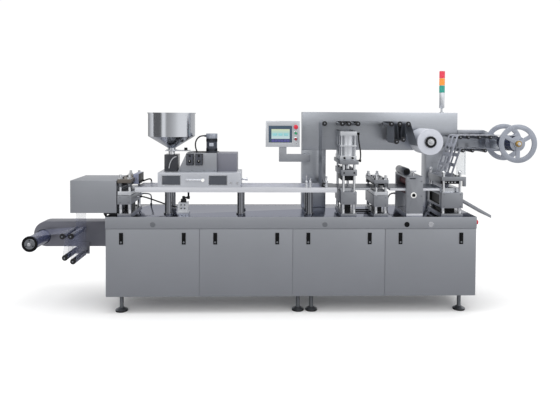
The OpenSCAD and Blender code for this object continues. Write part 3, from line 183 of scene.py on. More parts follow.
class MachineSizes(bpy.types.PropertyGroup):
    """Sizes of the finishing details."""

    sheet_edge: bpy.props.FloatProperty(
        name="Sheet edge", description="Radius of the folded edges of housings", default=4 * MM,
        unit="LENGTH")
    plate_edge: bpy.props.FloatProperty(
        name="Plate edge", description="Chamfer of machined plates", default=1.2 * MM, unit="LENGTH")
    screw_head: bpy.props.FloatProperty(
        name="Screw head", description="Head diameter of the cap screws", default=13 * MM, unit="LENGTH")
    spring_wire: bpy.props.FloatProperty(
        name="Spring wire", description="Wire radius of the station springs", default=2.2 * MM, unit="LENGTH")
    waste_pitch: bpy.props.FloatProperty(
        name="Waste pitch", description="Length of one window and rung of the waste web", default=90 * MM,
        unit="LENGTH")
    waste_rung: bpy.props.FloatProperty(
        name="Waste rung", description="Width of the strips between the waste web's windows", default=40 * MM,
        unit="LENGTH")


class MachineColours(bpy.types.PropertyGroup):
    """Colours of the main finishes."""

    cabinet: bpy.props.FloatVectorProperty(
        name="Cabinet", description="Satin stainless sheet of the cabinet", default=linear("#ADB0B6"),
        subtype="COLOR")
    table: bpy.props.FloatVectorProperty(
        name="Table", description="Polished plate on top of the bed", default=linear("#8F93A3"),
        subtype="COLOR")
    gantry: bpy.props.FloatVectorProperty(
        name="Gantry", description="Brushed stainless sheet of the gantry", default=linear("#B9BDC4"),
        subtype="COLOR")
    arm: bpy.props.FloatVectorProperty(
        name="Unwind arm", description="Dark paint of the unwind arm", default=linear("#6E6F78"),
        subtype="COLOR")
    film: bpy.props.FloatVectorProperty(
        name="Film", description="Tint of the wound forming film", default=linear("#3E4460"), subtype="COLOR")
    foil: bpy.props.FloatVectorProperty(
        name="Foil", description="Lacquered side of the lidding foil", default=linear("#6C717B"),
        subtype="COLOR")


# Mesh tools

def merged_copy(node):
    """A CAD node's mesh with its loose triangles joined into flat faces."""
    bm = bmesh.new()
    bm.from_mesh(frame["nodes"][node].data)
    bmesh.ops.remove_doubles(bm, verts=bm.verts, dist=0.01 * MM)
    bmesh.ops.dissolve_limit(bm, angle_limit=math.radians(0.5), verts=bm.verts, edges=bm.edges)
    return bm


def islands(node):
    """Lowest and highest corners of each separate solid in a CAD node, from left to right."""
    bm = merged_copy(node)
    unseen = set(bm.verts)
    found = []
    while unseen:
        stack = [unseen.pop()]
        group = []
        while stack:
            vert = stack.pop()
            group.append(vert.co.copy())
            for edge in vert.link_edges:
                other = edge.other_vert(vert)
                if other in unseen:
                    unseen.remove(other)
                    stack.append(other)
        low = Vector([min(co[i] for co in group) for i in range(3)])
        high = Vector([max(co[i] for co in group) for i in range(3)])
        found.append((low, high))
    bm.free()
    return sorted(found, key=lambda pair: pair[0].x)


def soften(bm, width):
    """Rounds the edges where two faces meet at a clear angle."""
    edges = [e for e in bm.edges if len(e.link_faces) == 2 and e.calc_face_angle(0) > BEVEL_ANGLE]
    bmesh.ops.bevel(bm, geom=edges, offset=width, segments=2, profile=0.6, affect="EDGES", clamp_overlap=True)


def solid_box(low, high, edge=0.0, finish=0):
    """A box with rounded edges, painted with one of its piece's finishes."""
    bm = bmesh.new()
    made = bmesh.ops.create_cube(bm, size=1.0)
    size = Vector(high) - Vector(low)
    bmesh.ops.scale(bm, vec=size, verts=made["verts"])
    bmesh.ops.translate(bm, vec=(Vector(low) + Vector(high)) / 2, verts=made["verts"])
    if edge:
        soften(bm, edge)
    return painted(bm, finish)


def painted(bm, finish):
    """The same mesh with every face given one finish."""
    for face in bm.faces:
        face.material_index = finish
    return bm


def turned(*pairs):
    """A profile for the lathe from pairs of radius and length in millimetres."""
    return [(radius * MM, length * MM) for radius, length in pairs]


def lathe(profile, origin, axis, steps=32, finish=0):
    """A turned solid: a profile of (radius, length) pairs spun round an axis through the origin."""
    bm = bmesh.new()
    turn = Vector(UP).rotation_difference(Vector(axis)).to_matrix()
    rings = []
    for radius, length in profile:
        if radius < 0.01 * MM:
            rings.append([bm.verts.new(Vector(origin) + turn @ Vector((0, 0, length)))])
            continue
        ring = []
        for k in range(steps):
            angle = 2 * math.pi * k / steps
            local = Vector((radius * math.cos(angle), radius * math.sin(angle), length))
            ring.append(bm.verts.new(Vector(origin) + turn @ local))
        rings.append(ring)
    for lower, upper in zip(rings, rings[1:]):
        for k in range(steps):
            corners = [lower[k % len(lower)], lower[(k + 1) % len(lower)],
                       upper[(k + 1) % len(upper)], upper[k % len(upper)]]
            face = list(dict.fromkeys(corners))
            if len(face) > 2:
                bm.faces.new(face)
    bmesh.ops.remove_doubles(bm, verts=bm.verts, dist=0.001 * MM)
    bmesh.ops.recalc_face_normals(bm, faces=bm.faces)
    return painted(bm, finish)


def strip(path, front, back, thick, finish=0):
    """A web of even thickness along a path of (x, z) points."""
    bm = bmesh.new()
    rows = []
    for i, (x, z) in enumerate(path):
        before = path[max(i - 1, 0)]
        after = path[min(i + 1, len(path) - 1)]
        run = Vector((after[0] - before[0], after[1] - before[1])).normalized()
        lift = Vector((-run.y, run.x)) * thick / 2
        ends = [(x + lift.x, z + lift.y), (x - lift.x, z - lift.y)]
        rows.append([bm.verts.new((u, y, w)) for y in (front, back) for u, w in ends])
    for a, b in zip(rows, rows[1:]):
        for i, j in ((0, 2), (2, 3), (3, 1), (1, 0)):
            bm.faces.new((a[i], a[j], b[j], b[i]))
    for row in (rows[0], rows[-1]):
        bm.faces.new((row[0], row[1], row[3], row[2]))
    bmesh.ops.recalc_face_normals(bm, faces=bm.faces)
    return painted(bm, finish)


def joined(parts):
    """Several meshes as one."""
    bm = bmesh.new()
    for part in parts:
        mesh = bpy.data.meshes.new("part")
        part.to_mesh(mesh)
        part.free()
        bm.from_mesh(mesh)
        bpy.data.meshes.remove(mesh)
    return bm


def piece(bm, name, finishes, body=MACHINE, replaces=()):
    """Turns a mesh into a finished piece that rides on a body."""
    mesh = bpy.data.meshes.new(name)
    bm.to_mesh(mesh)
    bm.free()
    for finish in finishes:
        mesh.materials.append(look(finish))
    return placed(mesh, name, body, replaces)


def placed(mesh, name, body, replaces=()):
    """Puts a finished mesh in the scene on its body, without normals kept from the CAD."""
    stored = mesh.attributes.get("custom_normal")
    if stored:
        mesh.attributes.remove(stored)
    mesh.polygons.foreach_set("use_smooth", [True] * len(mesh.polygons))
    mesh.set_sharp_from_angle(angle=SHARP_ANGLE)
    made = bpy.data.objects.new(name, mesh)
    bpy.context.scene.collection.objects.link(made)
    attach(made, body)
    if replaces:
        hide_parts(*replaces)
    return made


def finish_node(node, finishes, choose=None, edge=0.0, extra=()):
    """A CAD node with rounded edges and a finish for each face, which choose(middle, normal) picks."""
    bm = merged_copy(node)
    if choose:
        for face in bm.faces:
            face.material_index = choose(face.calc_center_median(), face.normal)
    if edge:
        soften(bm, edge)
    bm = joined([bm, *extra])
    return piece(bm, node + "_finish", finishes, BODY_OF[node], [node])


# Webs over rollers: a stop is (x, z, radius, side), with side 1 for a clockwise turn

def over(centre, radius, side):
    """A stop for a web that lies on a roller."""
    return (centre.x, centre.z, radius + WEB_GAP + WEB_THICK / 2, side)


def heading(a, b):
    """Direction of the straight run from one stop to the next."""
    run = b[0] - a[0]
    rise = b[1] - a[1]
    return math.atan2(rise, run) - math.asin((a[3] * a[2] - b[3] * b[2]) / math.hypot(run, rise))


def full_turn(angle):
    """An angle brought to one positive turn."""
    return angle - 2 * math.pi * math.floor(angle / (2 * math.pi) + 1e-5)


def web_path(stops, step=math.radians(6)):
    """Points of a web's middle line, straight between its stops and round them."""
    path = []
    for i, (x, z, radius, side) in enumerate(stops):
        arrive = heading(stops[i - 1], stops[i]) if i else heading(stops[0], stops[1])
        leave = heading(stops[i], stops[i + 1]) if i + 1 < len(stops) else arrive
        turn = -full_turn(arrive - leave) if side > 0 else full_turn(leave - arrive)
        count = math.ceil(abs(turn) / step)
        for k in range(count + 1):
            angle = arrive + turn * k / max(count, 1)
            path.append((x - side * radius * math.sin(angle), z + side * radius * math.cos(angle)))
    return path


def middles(boxes):
    """Middle of each box."""
    return [(low + high) / 2 for low, high in boxes]


# Node trees

def add_node(tree, kind, values=None, links=None, **settings):
    """Adds a node with its settings, its socket values and its links."""
    made = tree.nodes.new(kind)
    for name, value in settings.items():
        setattr(made, name, value)
    for socket, value in (values or {}).items():
        made.inputs[socket].default_value = value
    for socket, sources in (links or {}).items():
        for source in sources if isinstance(sources, list) else [sources]:
            tree.links.new(source, made.inputs[socket])
    return made


def new_tree(name, numbers, whole=()):
    """A Geometry Nodes tree that takes named numbers and a material, with its inputs and output node."""
    tree = bpy.data.node_groups.new(name, "GeometryNodeTree")
    kinds = [("Geometry", "NodeSocketGeometry")]
    kinds += [(label, "NodeSocketInt" if label in whole else "NodeSocketFloat") for label in numbers]
    kinds.append(("Material", "NodeSocketMaterial"))
    for label, kind in kinds:
        tree.interface.new_socket(label, in_out="INPUT", socket_type=kind)
    tree.interface.new_socket("Geometry", in_out="OUTPUT", socket_type="NodeSocketGeometry")
    return tree, add_node(tree, "NodeGroupInput").outputs, add_node(tree, "NodeGroupOutput")


def close_tree(tree, given, result, output):
    """Ends a tree: instances made real, one material for all."""
    real = add_node(tree, "GeometryNodeRealizeInstances", links={"Geometry": result})
    coated = add_node(tree, "GeometryNodeSetMaterial", links={
        "Geometry": real.outputs["Geometry"], "Material": given["Material"]})
    tree.links.new(coated.outputs["Geometry"], output.inputs["Geometry"])


def on_points(tree, given, instance):
    """Instances on the given points, turned so that their Z follows the points' axis."""
    axis = add_node(tree, "GeometryNodeInputNamedAttribute", values={"Name": "axis"},
                    data_type="FLOAT_VECTOR")
    turn = add_node(tree, "FunctionNodeAlignRotationToVector", links={"Vector": axis.outputs["Attribute"]},
                    axis="Z")
    put = add_node(tree, "GeometryNodeInstanceOnPoints", links={
        "Points": given["Geometry"], "Instance": instance, "Rotation": turn.outputs["Rotation"]})
    return put.outputs["Instances"]


@functools.cache
def screw_tree():
    """Socket-head cap screws on points."""
    numbers = ["Head Radius", "Head Height", "Socket Share", "Socket Depth"]
    tree, given, output = new_tree("Cap screws", numbers)
    head = add_node(tree, "GeometryNodeMeshCylinder", values={"Vertices": 14}, links={
        "Radius": given["Head Radius"], "Depth": given["Head Height"]})
    rim = add_node(tree, "GeometryNodeExtrudeMesh", values={"Offset Scale": 0.0, "Individual": False}, links={
        "Mesh": head.outputs["Mesh"], "Selection": head.outputs["Top"]})
    shrink = add_node(tree, "GeometryNodeScaleElements", links={
        "Geometry": rim.outputs["Mesh"], "Selection": rim.outputs["Top"],
        "Scale": given["Socket Share"]})
    hole = add_node(tree, "GeometryNodeExtrudeMesh", values={"Individual": False}, links={
        "Mesh": shrink.outputs["Geometry"], "Selection": rim.outputs["Top"],
        "Offset Scale": given["Socket Depth"]})
    half = add_node(tree, "ShaderNodeMath", values={1: 0.5}, links={0: given["Head Height"]},
                    operation="MULTIPLY")
    rise = add_node(tree, "ShaderNodeCombineXYZ", links={"Z": half.outputs["Value"]})
    lift = add_node(tree, "GeometryNodeTransform", links={
        "Geometry": hole.outputs["Mesh"], "Translation": rise.outputs["Vector"]})
    close_tree(tree, given, on_points(tree, given, lift.outputs["Geometry"]), output)
    return tree


@functools.cache
def coil_tree():
    """Round wire wound along the axis of each point: springs and screw threads."""
    tree, given, output = new_tree("Coils", ["Coil Radius", "Wire Radius", "Height", "Turns"])
    spiral = add_node(tree, "GeometryNodeCurveSpiral", values={"Resolution": 20}, links={
        "Rotations": given["Turns"], "Start Radius": given["Coil Radius"],
        "End Radius": given["Coil Radius"], "Height": given["Height"]})
    wire = add_node(tree, "GeometryNodeCurvePrimitiveCircle", values={"Resolution": 8}, links={
        "Radius": given["Wire Radius"]})
    solid = add_node(tree, "GeometryNodeCurveToMesh", values={"Fill Caps": True}, links={
        "Curve": spiral.outputs["Curve"], "Profile Curve": wire.outputs["Curve"]})
    close_tree(tree, given, on_points(tree, given, solid.outputs["Mesh"]), output)
    return tree


@functools.cache
def rib_tree():
    """Straight ribs round the axis of each point: fins, knurls and the rungs of a wound web."""
    numbers = ["Count", "Radius", "Rib Depth", "Rib Width", "Rib Length"]
    tree, given, output = new_tree("Ribs", numbers, ["Count"])
    circle = add_node(tree, "GeometryNodeMeshCircle", links={
        "Vertices": given["Count"], "Radius": given["Radius"]})
    size = add_node(tree, "ShaderNodeCombineXYZ", links={
        "X": given["Rib Depth"], "Y": given["Rib Width"], "Z": given["Rib Length"]})
    rib = add_node(tree, "GeometryNodeMeshCube", links={"Size": size.outputs["Vector"]})
    place = add_node(tree, "GeometryNodeInputPosition")
    out = add_node(tree, "FunctionNodeAlignRotationToVector", links={"Vector": place.outputs["Position"]},
                   axis="X", pivot_axis="Z")
    ring = add_node(tree, "GeometryNodeInstanceOnPoints", links={
        "Points": circle.outputs["Mesh"], "Instance": rib.outputs["Mesh"],
        "Rotation": out.outputs["Rotation"]})
    real = add_node(tree, "GeometryNodeRealizeInstances", links={"Geometry": ring.outputs["Instances"]})
    close_tree(tree, given, on_points(tree, given, real.outputs["Geometry"]), output)
    return tree


# Arithmetic of the punched web: each step's name, what it does and its terms
LADDER_STEPS = [
    ("step", "DIVIDE", "Pitch", "Steps"),
    ("steps", "DIVIDE", "length", "step"),
    ("whole steps", "FLOOR", "steps"),
    ("columns", "ADD", "whole steps", 1.0),
    ("bands", "MULTIPLY", "Windows", 2.0),
    ("cells", "ADD", "bands", 1.0),
    ("points", "ADD", "bands", 2.0),
    ("point share", "DIVIDE", "index", "points"),
    ("point column", "FLOOR", "point share"),
    ("travel", "MULTIPLY", "point column", "step"),
    ("across", "MODULO", "index", "points"),
    ("room", "SUBTRACT", "Width", "Rung"),
    ("spread", "DIVIDE", "room", "Windows"),
    ("pair share", "DIVIDE", "across", 2.0),
    ("pair", "FLOOR", "pair share"),
    ("pair place", "MULTIPLY", "pair", "spread"),
    ("odd", "MODULO", "across", 2.0),
    ("odd place", "MULTIPLY", "odd", "Rung"),
    ("side", "ADD", "pair place", "odd place"),
    ("half", "MULTIPLY", "Width", 0.5),
    ("shift", "SUBTRACT", "side", "half"),
    ("cell share", "DIVIDE", "index", "cells"),
    ("cell column", "FLOOR", "cell share"),
    ("row", "MODULO", "cell column", "Steps"),
    ("rung end", "SUBTRACT", "Rung Steps", 0.5),
    ("past rung", "GREATER_THAN", "row", "rung end"),
    ("cell", "MODULO", "index", "cells"),
    ("open band", "MODULO", "cell", 2.0),
    ("window", "MULTIPLY", "past rung", "open band"),
]


@functools.cache
def ladder_tree():
    """A web with rows of punched windows that follows the given line."""
    whole = ["Windows", "Steps", "Rung Steps"]
    numbers = ["Width", "Pitch", "Rung", *whole, "Thickness"]
    tree, given, output = new_tree("Punched web", numbers, whole)
    line = add_node(tree, "GeometryNodeMeshToCurve", links={"Mesh": given["Geometry"]})
    length = add_node(tree, "GeometryNodeCurveLength", links={"Curve": line.outputs["Curve"]})
    known = {label: given[label] for label in numbers}
    known["length"] = length.outputs["Length"]
    known["index"] = add_node(tree, "GeometryNodeInputIndex").outputs["Index"]
    for name, operation, *terms in LADDER_STEPS:
        values = {i: term for i, term in enumerate(terms) if not isinstance(term, str)}
        links = {i: known[term] for i, term in enumerate(terms) if isinstance(term, str)}
        known[name] = add_node(tree, "ShaderNodeMath", values, links, operation=operation).outputs["Value"]
    grid = add_node(tree, "GeometryNodeMeshGrid", links={
        "Vertices X": known["columns"], "Vertices Y": known["points"]})
    shift = add_node(tree, "ShaderNodeCombineXYZ", links={"Y": known["shift"]})
    sample = add_node(tree, "GeometryNodeSampleCurve", links={
        "Curves": line.outputs["Curve"], "Length": known["travel"]}, mode="LENGTH", use_all_curves=True)
    place = add_node(tree, "ShaderNodeVectorMath", links={
        0: sample.outputs["Position"], 1: shift.outputs["Vector"]}, operation="ADD")
    laid = add_node(tree, "GeometryNodeSetPosition", links={
        "Geometry": grid.outputs["Mesh"], "Position": place.outputs["Vector"]})
    punched = add_node(tree, "GeometryNodeDeleteGeometry", links={
        "Geometry": laid.outputs["Geometry"], "Selection": known["window"]}, domain="FACE")
    raised = add_node(tree, "GeometryNodeExtrudeMesh", values={"Individual": False}, links={
        "Mesh": punched.outputs["Geometry"], "Offset Scale": given["Thickness"]})
    under = add_node(tree, "GeometryNodeFlipFaces", links={"Mesh": punched.outputs["Geometry"]})
    both = add_node(tree, "GeometryNodeJoinGeometry", links={
        "Geometry": [raised.outputs["Mesh"], under.outputs["Mesh"]]})
    whole_web = add_node(tree, "GeometryNodeMergeByDistance", values={"Distance": 0.02 * MM}, links={
        "Geometry": both.outputs["Geometry"]})
    close_tree(tree, given, whole_web.outputs["Geometry"], output)
    return tree


def grown(tree, host_mesh, values, name, finish, body=MACHINE, replaces=()):
    """Runs a tree on a mesh and keeps the result as a plain piece."""
    host = bpy.data.objects.new(name + "_host", host_mesh)
    bpy.context.scene.collection.objects.link(host)
    modifier = host.modifiers.new(tree.name, "NODES")
    modifier.node_group = tree
    for item in tree.interface.items_tree:
        if item.in_out == "INPUT" and item.name in values:
            modifier[item.identifier] = values[item.name]
        if item.in_out == "INPUT" and item.name == "Material":
            modifier[item.identifier] = look(finish)
    graph = bpy.context.evaluated_depsgraph_get()
    mesh = bpy.data.meshes.new_from_object(host.evaluated_get(graph))
    host.modifiers.remove(modifier)
    bpy.data.objects.remove(host)
    mesh.name = name
    if not mesh.polygons:
        raise RuntimeError(f"{name}: the node tree made nothing")
    return placed(mesh, name, body, replaces)


def points_mesh(places):
    """Loose points, each with the axis that its instance follows."""
    mesh = bpy.data.meshes.new("points")
    mesh.from_pydata([tuple(place) for place, axis in places], [], [])
    axes = mesh.attributes.new("axis", "FLOAT_VECTOR", "POINT")
    axes.data.foreach_set("vector", [value for place, axis in places for value in axis])
    return mesh


def line_mesh(path, y):
    """A line of (x, z) points at one depth."""
    mesh = bpy.data.meshes.new("line")
    mesh.from_pydata([(x, y, z) for x, z in path], [(i, i + 1) for i in range(len(path) - 1)], [])
    return mesh


def add_screws(name, places, finish, body=MACHINE, head=None):
    """Cap screws whose heads stand on the given places."""
    size = head or bpy.context.scene.machine_sizes.screw_head
    values = {"Head Radius": size / 2, "Head Height": size * 0.6, "Socket Share": 0.55,
              "Socket Depth": -size * 0.3}
    return grown(screw_tree(), points_mesh(places), values, name, finish, body)


# Finishes

def new_finish(name):
    """An empty material with its shader, and its Object coordinates."""
    finish = bpy.data.materials.new(name)
    finish.use_nodes = True
    tree = finish.node_tree
    tree.nodes.clear()
    shader = add_node(tree, "ShaderNodeBsdfPrincipled")
    add_node(tree, "ShaderNodeOutputMaterial", links={"Surface": shader.outputs["BSDF"]})
    coords = add_node(tree, "ShaderNodeTexCoord").outputs["Object"]
    return finish, tree, shader, coords


def grain_finish(name, colour, metallic, roughness, grain, spread=0.06, relief=0.15, tone=0.05, coat=0.0,
                 gleam=0.5):
    """A finish whose grain sizes along X, Y and Z, in millimetres, vary colour, gloss and relief."""
    finish, tree, shader, coords = new_finish(name)
    scale = tuple(1 / (size * MM) for size in grain)
    stretched = add_node(tree, "ShaderNodeMapping", values={"Scale": scale}, links={"Vector": coords})
    fine = add_node(tree, "ShaderNodeTexNoise", values={"Scale": 1.0, "Detail": 3.0}, links={
        "Vector": stretched.outputs["Vector"]})
    broad = add_node(tree, "ShaderNodeTexNoise", values={"Scale": 2.5, "Detail": 2.0}, links={
        "Vector": coords})
    gloss = add_node(tree, "ShaderNodeMapRange", values={
        "To Min": roughness - spread, "To Max": roughness + spread}, links={"Value": fine.outputs["Fac"]})
    darker = tuple(c * (1 - tone) for c in colour[:3]) + (1.0,)
    lighter = tuple(min(c * (1 + tone), 1.0) for c in colour[:3]) + (1.0,)
    shade = add_node(tree, "ShaderNodeMix", values={6: darker, 7: lighter}, links={0: broad.outputs["Fac"]},
                     data_type="RGBA")
    bump = add_node(tree, "ShaderNodeBump", values={"Strength": relief, "Distance": 0.2 * MM}, links={
        "Height": fine.outputs["Fac"]})
    tree.links.new(shade.outputs[2], shader.inputs["Base Color"])
    tree.links.new(gloss.outputs["Result"], shader.inputs["Roughness"])
    tree.links.new(bump.outputs["Normal"], shader.inputs["Normal"])
    shader.inputs["Metallic"].default_value = metallic
    shader.inputs["Specular IOR Level"].default_value = gleam
    if coat:
        shader.inputs["Coat Weight"].default_value = coat
        shader.inputs["Coat Roughness"].default_value = 0.08
    return finish


def gloss_plastic(name, hex_colour, glow):
    """Glossy coloured plastic of buttons and lamps, with a faint glow: the lamps' and screen's own light, and
    painted light on two push buttons.
    """
    finish = grain_finish(name, linear(hex_colour), 0.0, 0.22, (3, 3, 3), 0.04, 0.03, 0.06, 0.5)
    shader = next(n for n in finish.node_tree.nodes if n.type == "BSDF_PRINCIPLED")
    shader.inputs["Emission Color"].default_value = (*linear(hex_colour), 1.0)
    shader.inputs["Emission Strength"].default_value = glow
    return finish


def clear_sheet(name, hex_colour, cover, roughness):
    """Thin clear or tinted sheet: part of the light goes through, the rest shows gloss and tint."""
    finish, tree, shader, coords = new_finish(name)
    waves = add_node(tree, "ShaderNodeTexNoise", values={"Scale": 1 / (70 * MM), "Detail": 2.0}, links={
        "Vector": coords})
    bump = add_node(tree, "ShaderNodeBump", values={"Strength": 0.08, "Distance": 0.5 * MM}, links={
        "Height": waves.outputs["Fac"]})
    gloss = add_node(tree, "ShaderNodeMapRange", values={
        "To Min": roughness * 0.7, "To Max": roughness * 1.3}, links={"Value": waves.outputs["Fac"]})
    tree.links.new(bump.outputs["Normal"], shader.inputs["Normal"])
    tree.links.new(gloss.outputs["Result"], shader.inputs["Roughness"])
    shader.inputs["Base Color"].default_value = (*linear(hex_colour), 1.0)
    shader.inputs["Alpha"].default_value = cover
    return finish


def lit_screen(name):
    """Touch screen: a soft glow that runs from pale yellow at the top to cyan and white."""
    finish, tree, shader, coords = new_finish(name)
    low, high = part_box("control_panel")
    border = 0.06
    height = add_node(tree, "ShaderNodeSeparateXYZ", links={"Vector": coords})
    share = add_node(tree, "ShaderNodeMapRange", values={
        "From Min": low.z + border, "From Max": high.z - border}, links={"Value": height.outputs["Z"]})
    ramp = add_node(tree, "ShaderNodeValToRGB", links={"Fac": share.outputs["Result"]})
    ramp.color_ramp.elements[0].color = (*linear("#EAF6F8"), 1.0)
    ramp.color_ramp.elements[1].color = (*linear("#F3F6C4"), 1.0)
    middle = ramp.color_ramp.elements.new(0.5)
    middle.color = (*linear("#B9E6E8"), 1.0)
    tree.links.new(ramp.outputs["Color"], shader.inputs["Emission Color"])
    shader.inputs["Base Color"].default_value = (*linear("#15181C"), 1.0)
    shader.inputs["Emission Strength"].default_value = 0.75
    shader.inputs["Roughness"].default_value = 0.15
    return finish


# Finishes with a grain: colour, or the machine colour that gives it, metal, roughness, grain along X, Y and Z
# in millimetres, and where they differ the spread of gloss, relief, tone, coat and gleam
GRAINS = {
    # Stainless sheet brushed along its length: long scratches, drawn 3 mm wide so that they show
    "satin_stainless_sheet": ("cabinet", 1.0, 0.48, (180, 180, 3), 0.06, 0.05),
    # The same sheet, lighter, on the gantry
    "brushed_stainless_sheet": ("gantry", 1.0, 0.30, (240, 240, 3), 0.07, 0.06),
    # Bed plate polished to a soft mirror with a faint blue cast
    "polished_table_plate": ("table", 1.0, 0.13, (300, 6, 6), 0.04, 0.02),
    # Gate, shelves and window frames: stainless polished until it mirrors in long upright streaks
    "polished_stainless_steel": ("#C9CCD2", 1.0, 0.26, (8, 8, 260), 0.05, 0.02),
    # Film track and traction unit: the same steel ground along the film's way
    "ground_track_stainless": ("#DADCE2", 0.6, 0.32, (260, 4, 4), 0.05, 0.02),
    # Feeder case: the same steel, ground a shade duller
    "ground_feeder_stainless": ("#C6C9D0", 0.6, 0.34, (260, 4, 4), 0.05, 0.02),
    # Hopper shell: the same steel with a mirror polish, clean enough to show only broad upright streaks
    "mirror_polished_stainless": ("#CDD0D6", 1.0, 0.16, (60, 60, 500), 0.02, 0.0, 0.03),
    # Light alloy castings: reel flanges and motor cap
    "cast_light_alloy": ("#A7ACB7", 0.8, 0.42, (4, 4, 4), 0.05, 0.06),
    # Support posts: chrome that mirrors the dark room beside the lamps, with its colour darkened as painted
    # shade
    "dark_mirror_chrome": ("#808288", 1.0, 0.12, (60, 60, 200), 0.03, 0.0, 0.03),
    # Plain pale rating plate
    "pale_plate": ("#AEB3BD", 0.3, 0.4, (3, 3, 3), 0.05, 0.03),
    # Ground tool steel of the station plates: even grey with cross-wise grinding marks
    "ground_tool_steel": ("#A2A5AB", 1.0, 0.38, (2.5, 120, 120), 0.07, 0.08),
    # Milled edge of the forming plates, warmer from the heat
    "heat_tinted_steel": ("#807A74", 1.0, 0.40, (2.5, 90, 90), 0.07, 0.08),
    # Anodised aluminium: pale, fine satin
    "anodised_aluminium": ("#D8DBE0", 0.85, 0.34, (3, 3, 60), 0.05, 0.04),
    # Blue-grey anodised manifold
    "blue_grey_anodised": ("#9AA0B8", 0.8, 0.36, (3, 60, 60), 0.05, 0.04),
    # Hard chrome on columns and shafts: a clean mirror
    "hard_chrome": ("#E1E3E7", 1.0, 0.10, (40, 40, 40), 0.03, 0.01, 0.02),
    # Dark polished roller sleeve
    "dark_polished_sleeve": ("#5C5F68", 1.0, 0.18, (4, 200, 4), 0.05, 0.02),
    # Semi-gloss dark paint with a slight orange peel
    "dark_grey_paint": ("arm", 0.35, 0.36, (5, 5, 5), 0.05, 0.06),
    # Black oxide steel of springs and housings: near black with a dull shine
    "black_oxide_steel": ("#1D1E21", 0.6, 0.42, (4, 4, 4), 0.08, 0.08),
    # Moulded black plastic: fine leather-like grain
    "moulded_black_plastic": ("#08090B", 0.0, 0.42, (1.5, 1.5, 1.5), 0.08, 0.12, 0.05, 0.0, 0.18),
    # Feeder motor: dark grey enamel with a slight orange peel
    "dark_motor_enamel": ("#353A45", 0.0, 0.42, (3, 3, 3), 0.08, 0.10),
    # Black rubber of pads, roller ends, cables and hoses
    "black_rubber": ("#141416", 0.0, 0.62, (2, 2, 2), 0.08, 0.15),
    # Dark red rubber on the traction rollers
    "dark_red_rubber": ("#5A2027", 0.0, 0.58, (2, 30, 2), 0.08, 0.15),
    # Zinc-plated steel of feet, nuts and screws
    "zinc_plated_steel": ("#8D9095", 1.0, 0.36, (6, 6, 6), 0.08, 0.05),
    # Brass hub nut
    "turned_brass": ("#B79A62", 1.0, 0.26, (3, 3, 3), 0.06, 0.05),
    # Wound forming film: many clear layers add up to a glossy dark blue
    "wound_forming_film": ("film", 0.0, 0.22, (90, 4, 90), 0.06, 0.05, 0.10, 0.6),
    # Wound lidding foil: bright and almost white
    "wound_lidding_foil": ("#CDD0D9", 0.35, 0.36, (60, 3, 60), 0.06, 0.03),
    # Running foil shows its dull grey lacquer
    "lacquered_foil": ("foil", 0.7, 0.33, (70, 50, 70), 0.06, 0.10),
    # Punched skeleton of film and foil: pale, with a slight gloss
    "punched_laminate": ("#A9ACB6", 0.3, 0.34, (20, 20, 20), 0.08, 0.06),
    # Waste wound on the reel: many layers of tinted film over each other, so dark and blue
    "wound_laminate": ("#333A58", 0.3, 0.34, (20, 20, 20), 0.1, 0.10),
    # Grey nylon-braided hose
    "grey_hose_rubber": ("#85878D", 0.0, 0.5, (2, 2, 2), 0.06, 0.12),
    # White moulded plastic knobs
    "white_moulded_plastic": ("#E9E9E6", 0.0, 0.35, (2, 2, 2), 0.05, 0.05),
    # Purplish grey enamel of the feeder's cap
    "purple_grey_enamel": ("#74757F", 0.2, 0.38, (6, 6, 6), 0.05, 0.05),
}

# Glossy moulded plastics, with a sharp highlight over a full colour: colour and glow
GLOSSES = {
    "smoked_acrylic": ("#3F434B", 0.0),
    "slate_plastic_face": ("#3A3D46", 0.0),
    "smoked_duct_acrylic": ("#2A2D34", 0.0),
    "green_lamp_lens": ("#1F8F80", 0.12),
    "amber_lamp_lens": ("#E58A2C", 0.12),
    "red_lamp_lens": ("#CE2A44", 0.12),
    "blue_grey_bezel": ("#33475A", 0.0),
    "violet_keys": ("#4B4A86", 0.0),
    "teal_tile": ("#7FB4B8", 0.15),
    "red_stop_plastic": ("#C8203A", 0.0),
    # The green and dark red push buttons glow faintly as painted light
    "green_button_plastic": ("#1F8A5C", 0.1),
    "dark_red_button_plastic": ("#8E1B2E", 0.1),
}

# Clear PVC and acrylic sheet, seen through under a thin gloss: tint, cover and roughness
SHEETS = {
    "clear_pvc_film": ("#9AA0C0", 0.16, 0.15),
    "clear_acrylic_guard": ("#C9D3DA", 0.22, 0.06),
}

# Plates, columns and housings of the stations
STATION_STEELS = ["ground_tool_steel", "hard_chrome", "black_oxide_steel"]


@functools.cache
def look(name):
    """The finish of a given name."""
    if name in GLOSSES:
        return gloss_plastic(name, *GLOSSES[name])
    if name in SHEETS:
        return clear_sheet(name, *SHEETS[name])
    if name == "lit_touch_screen":
        return lit_screen(name)
    colour, *values = GRAINS[name]
    if colour.startswith("#"):
        return grain_finish(name, linear(colour), *values)
    return grain_finish(name, getattr(bpy.context.scene.machine_colours, colour), *values)


# Shared fittings

def on_top(xs, ys, z):
    """Places that face up, in rows."""
    return [((x, y, z), UP) for x in xs for y in ys]


def on_front(xs, y, zs):
    """Places that face the operator, in rows."""
    return [((x, y, z), TO_FRONT) for x in xs for z in zs]


